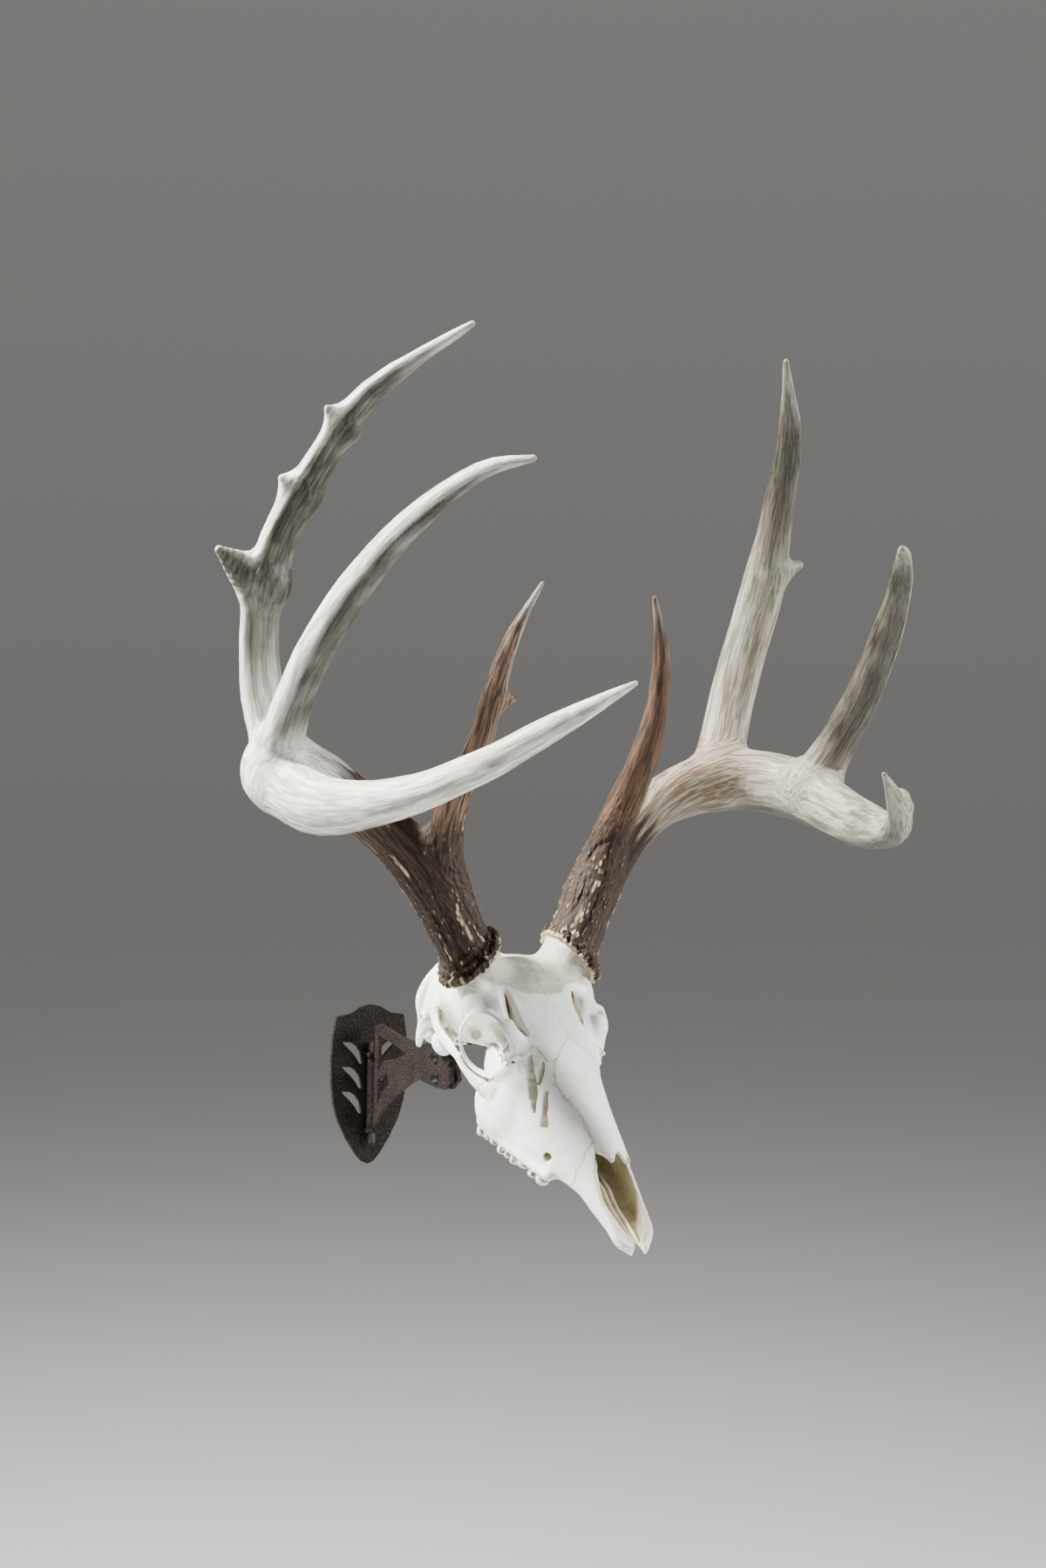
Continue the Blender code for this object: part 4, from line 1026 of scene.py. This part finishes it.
def refine(points, faces, chosen):
    """Splits the chosen four-sided faces in four; their neighbours take the new edge points in."""
    count = len(points)
    cut = faces[chosen]
    sides = np.sort(np.stack([cut, np.roll(cut, -1, axis=1)], axis=2), axis=2).reshape(-1, 2)
    keys, which = np.unique(sides[:, 0] * count + sides[:, 1], return_inverse=True)
    first, second = keys // count, keys % count
    middles = (count + which).reshape(-1, 4)
    centres = count + len(keys) + np.arange(len(cut))
    quads = [np.stack([cut[:, k], middles[:, k], centres, middles[:, k - 1]], axis=1) for k in range(4)]
    points = np.concatenate([points, (points[first] + points[second]) / 2, points[cut].mean(axis=1)])
    rest = faces[~chosen]
    sides = np.sort(np.stack([rest, np.roll(rest, -1, axis=1)], axis=2), axis=2)
    wanted = sides[..., 0] * count + sides[..., 1]
    index = np.minimum(np.searchsorted(keys, wanted), len(keys) - 1)
    split = keys[index] == wanted
    border = split.any(axis=1)
    borders = []
    for corners, found, middle in zip(rest[border], split[border], index[border]):
        ring = []
        for k in range(4):
            ring.append(corners[k])
            if found[k]:
                ring.append(count + middle[k])
        borders.append(ring)
    return points, np.concatenate([rest[~border], *quads]), borders


def recess(field, points, normals):
    """How far the surface lies in a hollow: 0 on open ground, 1 deep inside."""
    shut = np.zeros(len(points))
    for reach in RECESS_REACHES:
        free = np.clip(field.at(points + reach * normals) / reach, 0, 1)
        shut += (1 - free) / len(RECESS_REACHES)
    return shut


def young_part(points, lines):
    """1 at the burr, less up the brow tine, and 0 on the clean branches."""
    nearest, (run, *_), _ = along_line(points, *lines["brow"])
    beam_near, (beam_run, *_), _ = along_line(points, *lines["beam"])
    on_brow = ramp(beam_near - nearest, -0.2, 0.4)
    return (1 - ramp(beam_run, 90, 170)) * (1 - on_brow) + on_brow * (1 - ramp(run, 20, 90))


def cuff_part(points, height, base, away):
    """The ragged ring of pale bone where the burr sits on its pedicle."""
    radial = np.linalg.norm(points - base - height[:, None] * away, axis=1)
    cuff = (1 - ramp(height + 0.8 * noise(points, 3, 91), 0.6, 2.6)) * ramp(radial, 17, 20)
    return 0.8 * cuff * (radial < BURR_RADIUS + 6)


def antler_net(field, lines, letter):
    """The antler's surface, with finer faces where it is young and on the tips."""
    points, faces = largest_piece(*surface_net(field))
    _, young, _ = antler_relief(points, field.slope(points), lines, letter)
    fine = young > 0.3
    for line, wide in lines.values():
        nearest, (run, *_), length = along_line(points, line, wide)
        fine |= (nearest < 1.6) & (run > 0.8 * length)
    return refine(points, faces, fine[faces].all(axis=1))


def antler_piece(letter, side):
    lines = antler_lines(letter)
    base, away = lines["beam"][0][0, :3], unit(np.array(BURR_FACING))
    field = antler_field(letter, lines, base, away)
    points, faces, borders = antler_net(field, lines, letter)
    normals = field.slope(points, ANTLER_STEP)
    points = points - normals * field.at(points)[:, None]
    height, _, shades = antler_relief(points, normals, lines, letter)
    over_seat = (points - base) @ away
    # how deep each point lies in a hollow, which the antler material darkens as painted shade
    shades["hollow"] = recess(field, points, normals)
    shades["cuff"] = cuff_part(points, over_seat, base, away)
    shades["young"] = young_part(points, lines)
    points = points + normals * (height * ramp(over_seat, 0.3, 2.5))[:, None]
    points[:, 0] *= side
    if side > 0:
        faces = faces[:, ::-1]
        borders = [ring[::-1] for ring in borders]
    name = "antler_" + letter
    piece = mesh_piece(name, points, faces, shades, MATERIALS[name], borders)
    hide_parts(*[f"{name}_{part}" for part in ANTLER_PARTS])


# ---------------- meshes
def placed(name, data):
    """A new object with this data, in the scene."""
    made = bpy.data.objects.new(name, data)
    bpy.context.scene.collection.objects.link(made)
    return made


def mesh_piece(name, points, faces, shades, material, borders=()):
    """A smooth mesh from points in the skull's frame, riding with the mount."""
    world = points @ SKULL[:3, :3].T + SKULL[:3, 3]
    sizes = np.array([4] * len(faces) + [len(ring) for ring in borders])
    corners = np.concatenate([faces.ravel(), *borders])
    mesh = bpy.data.meshes.new(name)
    mesh.vertices.add(len(world))
    mesh.vertices.foreach_set("co", world.astype(np.float32).ravel())
    mesh.loops.add(len(corners))
    mesh.loops.foreach_set("vertex_index", corners.astype(np.int32))
    mesh.polygons.add(len(sizes))
    mesh.polygons.foreach_set("loop_start", (np.cumsum(sizes) - sizes).astype(np.int32))
    mesh.polygons.foreach_set("use_smooth", np.ones(len(sizes), bool))
    mesh.update(calc_edges=True)
    for label, values in shades.items():
        kind, field_name = ("FLOAT_VECTOR", "vector") if np.ndim(values) == 2 else ("FLOAT", "value")
        layer = mesh.attributes.new(label, kind, "POINT")
        layer.data.foreach_set(field_name, np.asarray(values, np.float32).ravel())
    mesh.materials.append(material)
    piece = placed(name, mesh)
    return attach(piece, "root")


# ---------------- materials
class Shading:
    """A node material, built by naming each node's inputs."""

    def __init__(self, name, roughness, metallic=0.0, specular=0.5):
        self.material = bpy.data.materials.new(name)
        self.material.use_nodes = True
        self.tree = self.material.node_tree
        self.shader = self.tree.nodes["Principled BSDF"]
        self.shader.inputs["Roughness"].default_value = roughness
        self.shader.inputs["Metallic"].default_value = metallic
        self.shader.inputs["Specular IOR Level"].default_value = specular

    def node(self, kind, inputs=None, output=0, **settings):
        made = self.tree.nodes.new("ShaderNode" + kind)
        for setting, value in settings.items():
            setattr(made, setting, value)
        for socket, value in (inputs or {}).items():
            if isinstance(value, bpy.types.NodeSocket):
                self.tree.links.new(value, made.inputs[socket])
            else:
                made.inputs[socket].default_value = value
        return made.outputs[output]

    def place(self):
        return self.node("TexCoord", output="Object")

    def value(self, label):
        return self.node("Attribute", output="Fac", attribute_name=label)

    def noise(self, scale, detail=3.0, roughness=0.5):
        """Noise with so many lumps per metre."""
        inputs = {"Vector": self.place(), "Scale": scale, "Detail": detail, "Roughness": roughness}
        return self.node("TexNoise", inputs, output="Fac")

    def streaks(self, across, along):
        """Noise with so many lumps per mm across and along the grain."""
        grain = self.node("Attribute", output="Vector", attribute_name="grain")
        vector = self.node("VectorMath", {0: grain, 1: (across, across, along)}, operation="MULTIPLY")
        return self.node("TexNoise", {"Vector": vector, "Scale": 1.0, "Detail": 2.5}, output="Fac")

    def spans(self, value, start, end, low=0.0, high=1.0):
        inputs = {0: value, 1: start, 2: end, 3: low, 4: high}
        return self.node("MapRange", inputs, interpolation_type="SMOOTHSTEP")

    def math(self, operation, value, *others):
        """Takes the values together, one after another."""
        for other in others:
            value = self.node("Math", {0: value, 1: other}, operation=operation)
        return value

    def mix(self, share, a, b):
        colors = [(*color, 1.0) if isinstance(color, tuple) else color for color in (a, b)]
        inputs = {0: share, 6: colors[0], 7: colors[1]}
        return self.node("Mix", inputs, output=2, data_type="RGBA")

    def layers(self, color, *coats):
        """A colour with others laid over it, each by its share."""
        for share, coat in coats:
            color = self.mix(share, color, coat)
        return color

    def bumps(self, *reliefs):
        """The normal over heights with their strength and distance, one over another."""
        inputs = {}
        for height, strength, distance in reliefs:
            inputs.update({"Height": height, "Strength": strength, "Distance": distance})
            inputs["Normal"] = self.node("Bump", inputs)
        return inputs["Normal"]

    def finish(self, color, roughness=None, normal=None):
        for socket, value in (("Base Color", color), ("Roughness", roughness), ("Normal", normal)):
            if value is not None:
                self.tree.links.new(value, self.shader.inputs[socket])
        return self.material


def bone_material():
    """Bleached bone with age and painted shade in its hollows, tan bone and painted shade in the nose, and
    decay on the teeth.
    """
    paint = Shading("bone", 0.6)
    mottle, fine, cloud = paint.noise(70, 6, 0.6), paint.noise(420, 3), paint.noise(22, 4, 0.6)
    hollow = paint.value("hollow")
    # Age and painted shade: darker and yellower in hollows, with mottled tone besides
    aged_and_shaded = paint.math("ADD", paint.spans(hollow, 0.12, 0.7, 0, 0.85),
                      paint.spans(mottle, 0.48, 0.68, 0, 0.35), paint.spans(cloud, 0.48, 0.72, 0, 0.35))
    # Olive painted shade, partly discolouring, at the spots, and the antlers' painted shadow on the crown
    shaded_and_stained = paint.math("MULTIPLY", paint.value("shade_and_stain"), paint.spans(mottle, 0.3, 0.6, 0.8, 1.0))
    # Dark decay on the teeth, strongest in the hollows between them, where it is partly painted shade
    decay_and_gap_shade = paint.math("MULTIPLY", paint.value("tooth"), paint.spans(hollow, 0.02, 0.15, 0.3, 1.0),
                         paint.spans(paint.noise(260, 3), 0.42, 0.52, 0.25, 1.0))
    # Tan inside the nose: thin bone, partly painted shade in the passage
    in_nose = paint.mix(paint.spans(mottle, 0.35, 0.65), (0.62, 0.55, 0.33), (0.42, 0.34, 0.18))
    wander = paint.math("ABSOLUTE", paint.math("SUBTRACT", paint.noise(34, 4, 0.55), 0.5), 0.0)
    crack = paint.math("MULTIPLY", paint.spans(wander, 0.001, 0.005, 1, 0), paint.spans(cloud, 0.5, 0.6))
    color = paint.layers(
        (0.88, 0.88, 0.85),
        (aged_and_shaded, (0.66, 0.62, 0.47)),
        # the olive painted shade and discolouring from the spots and the crown
        (shaded_and_stained, (0.31, 0.315, 0.20)),
        # Painted shade, dark brown, deep in holes and hollows
        (paint.spans(hollow, 0.6, 0.95, 0, 0.8), (0.25, 0.17, 0.09)),
        (decay_and_gap_shade, (0.07, 0.04, 0.02)),
        (paint.math("MULTIPLY", paint.value("seam"), 0.5), (0.42, 0.35, 0.24)),
        (paint.value("nose"), in_nose),
        (paint.spans(fine, 0.35, 0.8, 0, 0.25), (0.93, 0.93, 0.90)),
        (paint.math("MULTIPLY", crack, 0.45), (0.36, 0.31, 0.22)),
    )
    pores = paint.node("TexVoronoi", {"Vector": paint.place(), "Scale": 900.0}, feature="F1")
    normal = paint.bumps(
        (paint.spans(pores, 0.05, 0.3), 0.3, 0.0002),
        (paint.noise(260, 5, 0.6), 0.35, 0.0004),
        (paint.noise(75, 5, 0.65), 0.5, 0.0014),
        (paint.spans(crack, 0, 1, 1, 0), 0.3, 0.0003),
    )
    return paint.finish(color, paint.spans(fine, 0.3, 0.7, 0.48, 0.7), normal)


def antler_material(name, ivory_tone, streak_tone, hair_share, rustiness, warm_tone):
    """Bleached antler with lengthwise streaks, brown and pearled toward the base, with painted shade on the
    darker side of each branch and in its hollows.
    """
    paint = Shading(name, 0.55, specular=0.3)
    brown, groove, crest = (paint.value(label) for label in ("brown", "groove", "crest"))
    broad, thin, hair = paint.streaks(0.22, 0.03), paint.streaks(0.6, 0.04), paint.streaks(1.2, 0.05)
    mixed = paint.math("ADD", paint.math("MULTIPLY", broad, 0.5), paint.math("MULTIPLY", thin, 0.5))
    rusty = paint.math("MULTIPLY", paint.value("rust"), paint.spans(thin, 0.47, 0.6, 0, rustiness))
    blotches = paint.spans(paint.noise(30, 4), 0.25, 0.6, 0.8, 1.0)
    # Dark olive painted shade, with some weathering, for the darker side of each branch
    shade_and_weathering = paint.layers(
        (0.05, 0.045, 0.03),
        (paint.spans(thin, 0.4, 0.6), (0.014, 0.0125, 0.0085)),
        (paint.spans(hair, 0.58, 0.72, 0, 0.4), (0.18, 0.17, 0.12)),
    )
    ivory = paint.layers(
        ivory_tone,
        (paint.spans(mixed, 0.42, 0.60), streak_tone),
        (paint.spans(hair, 0.54, 0.66, 0, hair_share), (0.15, 0.13, 0.09)),
        (paint.spans(groove, 0.3, 1.0, 0, 0.5), (0.24, 0.20, 0.14)),
        (rusty, (0.15, 0.085, 0.042)),
        # painted shade, with some weathering, on the darker side of each branch
        (paint.math("MULTIPLY", paint.value("shade_and_stain"), blotches), shade_and_weathering),
    )
    streaked = paint.spans(thin, 0.38, 0.62)
    deep = paint.mix(streaked, (0.055, 0.031, 0.016), (0.014, 0.009, 0.006))
    dark = paint.layers(
        paint.mix(streaked, warm_tone, (0.03, 0.017, 0.010)),
        (paint.spans(paint.value("young"), 0.25, 0.8), deep),
        (paint.spans(hair, 0.5, 0.7, 0, 0.6), (0.016, 0.010, 0.007)),
        (paint.spans(crest, 0.3, 0.62, 0, 0.9), (0.50, 0.39, 0.26)),
        (paint.spans(crest, -0.05, -0.35, 0, 0.8), (0.012, 0.007, 0.005)),
    )
    color = paint.layers(
        ivory,
        (paint.spans(brown, 0.15, 0.75), dark),
        # Painted shade, near black, deep in hollows between pearls and tines
        (paint.spans(paint.value("hollow"), 0.3, 0.8, 0, 0.7), (0.035, 0.022, 0.014)),
        (paint.value("cuff"), (0.55, 0.48, 0.34)),
    )
    rough = paint.math("ADD", paint.spans(hair, 0.3, 0.7, 0.42, 0.58), paint.spans(brown, 0.2, 0.8, 0, 0.25))
    return paint.finish(color, rough, paint.bumps((thin, 0.25, 0.0005), (hair, 0.2, 0.00025)))


def powder_coat_material():
    """Dark brown wrinkled coat with small glints."""
    paint = Shading("brown_powder_coat", 0.6, specular=0.12)
    wrinkle = paint.noise(640, 4, 0.6)
    color = paint.layers(
        (0.006, 0.0042, 0.0034),
        (paint.spans(paint.noise(60, 3), 0.35, 0.7), (0.012, 0.0082, 0.0066)),
        (paint.spans(wrinkle, 0.5, 0.68, 0, 0.5), (0.07, 0.054, 0.044)),
    )
    return paint.finish(color, paint.spans(wrinkle, 0.3, 0.7, 0.8, 0.55), paint.bumps((wrinkle, 1.0, 0.0011)))


def metal_material(name, color, worn, roughness, metallic):
    """Metal with fine scratches that show a lighter tone."""
    paint = Shading(name, roughness, metallic)
    scratch = paint.noise(1400, 5, 0.65)
    shade = paint.mix(paint.spans(scratch, 0.5, 0.75, 0, 0.6), color, worn)
    gloss = paint.spans(scratch, 0.3, 0.7, roughness - 0.08, roughness + 0.12)
    return paint.finish(shade, gloss, paint.bumps((scratch, 0.25, 0.0002)))


# Ivory, its streaks, the share of dark hairs, the rust and the warm brown of each antler; the left antler's
# much darker tones are partly painted shade
ANTLER_LOOKS = {
    "antler_R": ((0.71, 0.72, 0.69), (0.38, 0.37, 0.31), 0.4, 0.3, (0.17, 0.105, 0.068)),
    "antler_L": ((0.31, 0.292, 0.24), (0.115, 0.10, 0.068), 0.9, 1.0, (0.10, 0.05, 0.024)),
}
MATERIALS = {
    "bone": bone_material(),
    "brown_powder_coat": powder_coat_material(),
    "black_bolt": metal_material("black_bolt", (0.004, 0.004, 0.005), (0.015, 0.015, 0.015), 0.22, 0.0),
    "steel_screw": metal_material("steel_screw", (0.07, 0.058, 0.044), (0.24, 0.21, 0.16), 0.45, 1.0),
}
MATERIALS.update({name: antler_material(name, *look) for name, look in ANTLER_LOOKS.items()})


# ---------------- stage
CAMERA_PLACE = Vector((-0.8439, -1.5149, 0.2166))
CAMERA_LOOK = Vector((0.5451, 0.8383, 0.0134)).normalized()
CAMERA_RIGHT = Vector((0.8380, -0.5452, 0.0206)).normalized()
CAMERA_LENS = 50.03             # on a sensor whose long side is 36 mm
OBJECT_MIDDLE = Vector((0, -0.25, 0.25))
# Soft lights: how far right, up and ahead of the object as the camera sees it, size, power, colour
LIGHTS = {
    "key": ((-1.65, 1.65, -0.4), 0.35, 450, (1.0, 0.98, 0.95)),
    "side": ((2.0, 0.5, -0.1), 1.4, 110, (0.98, 0.99, 1.0)),
}
FLOOR_HALF, FLOOR_CELLS, FLOOR_Z = 30, 40, -1.2
SKY_STRENGTH = {"From Min": 0.0, "From Max": 0.5, "To Min": 0.165, "To Max": 0.22}


def add_camera():
    up = CAMERA_RIGHT.cross(CAMERA_LOOK).normalized()
    right = CAMERA_LOOK.cross(up)
    camera = placed("camera", bpy.data.cameras.new("camera"))
    camera.data.lens = CAMERA_LENS
    turn = Matrix((right, up, -CAMERA_LOOK)).transposed().to_4x4()
    camera.matrix_world = Matrix.Translation(CAMERA_PLACE) @ turn
    bpy.context.scene.camera = camera


def add_area_light(name, offset, size, power, color):
    """A soft light aimed at the object."""
    right, up, ahead = offset
    place = OBJECT_MIDDLE + CAMERA_RIGHT * right + Vector((0, 0, up)) + CAMERA_LOOK * ahead
    data = bpy.data.lights.new(name, "AREA")
    data.shape = "DISK"
    data.size = size
    data.energy = power
    data.color = color
    light = placed(name, data)
    light.location = place
    light.rotation_mode = "QUATERNION"
    light.rotation_quaternion = (OBJECT_MIDDLE - place).to_track_quat("-Z", "Y")


def add_world():
    """Even light that grows a little from the horizon up."""
    world = bpy.data.worlds.new("studio")
    bpy.context.scene.world = world
    world.use_nodes = True
    tree = world.node_tree
    direction = tree.nodes.new("ShaderNodeTexCoord").outputs["Generated"]
    split = tree.nodes.new("ShaderNodeSeparateXYZ")
    tone = tree.nodes.new("ShaderNodeMapRange")
    for socket, value in SKY_STRENGTH.items():
        tone.inputs[socket].default_value = value
    background = tree.nodes["Background"]
    background.inputs["Color"].default_value = (1.0, 0.97, 0.93, 1)
    tree.links.new(direction, split.inputs[0])
    tree.links.new(split.outputs["Z"], tone.inputs["Value"])
    tree.links.new(tone.outputs[0], background.inputs["Strength"])


def add_floor():
    """A wide pale floor well below the object, on the stage only."""
    bm = bmesh.new()
    bmesh.ops.create_grid(bm, x_segments=FLOOR_CELLS, y_segments=FLOOR_CELLS, size=FLOOR_HALF)
    bmesh.ops.translate(bm, verts=bm.verts, vec=(0, 0, FLOOR_Z))
    mesh = bpy.data.meshes.new("floor")
    bm.to_mesh(mesh)
    bm.free()
    paint = Shading("floor", 0.9)
    color = paint.mix(paint.noise(3, 4), (0.72, 0.72, 0.72), (0.76, 0.76, 0.76))
    mesh.materials.append(paint.finish(color))
    floor = placed("floor", mesh)


# ---------------- the whole
def finish_bracket():
    """The bracket's nodes keep their solids and get the finished materials."""
    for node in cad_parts.values():
        slot = node.data.materials[0].name.split(".")[0]
        if slot in MATERIALS:
            node.material_slots[0].link = "OBJECT"
            node.material_slots[0].material = MATERIALS[slot]


add_camera()
add_world()
add_floor()
for light_name, light_values in LIGHTS.items():
    add_area_light(light_name, *light_values)
add_skull()
for side_letter, side_sign in SIDES.items():
    antler_piece(side_letter, side_sign)
finish_bracket()
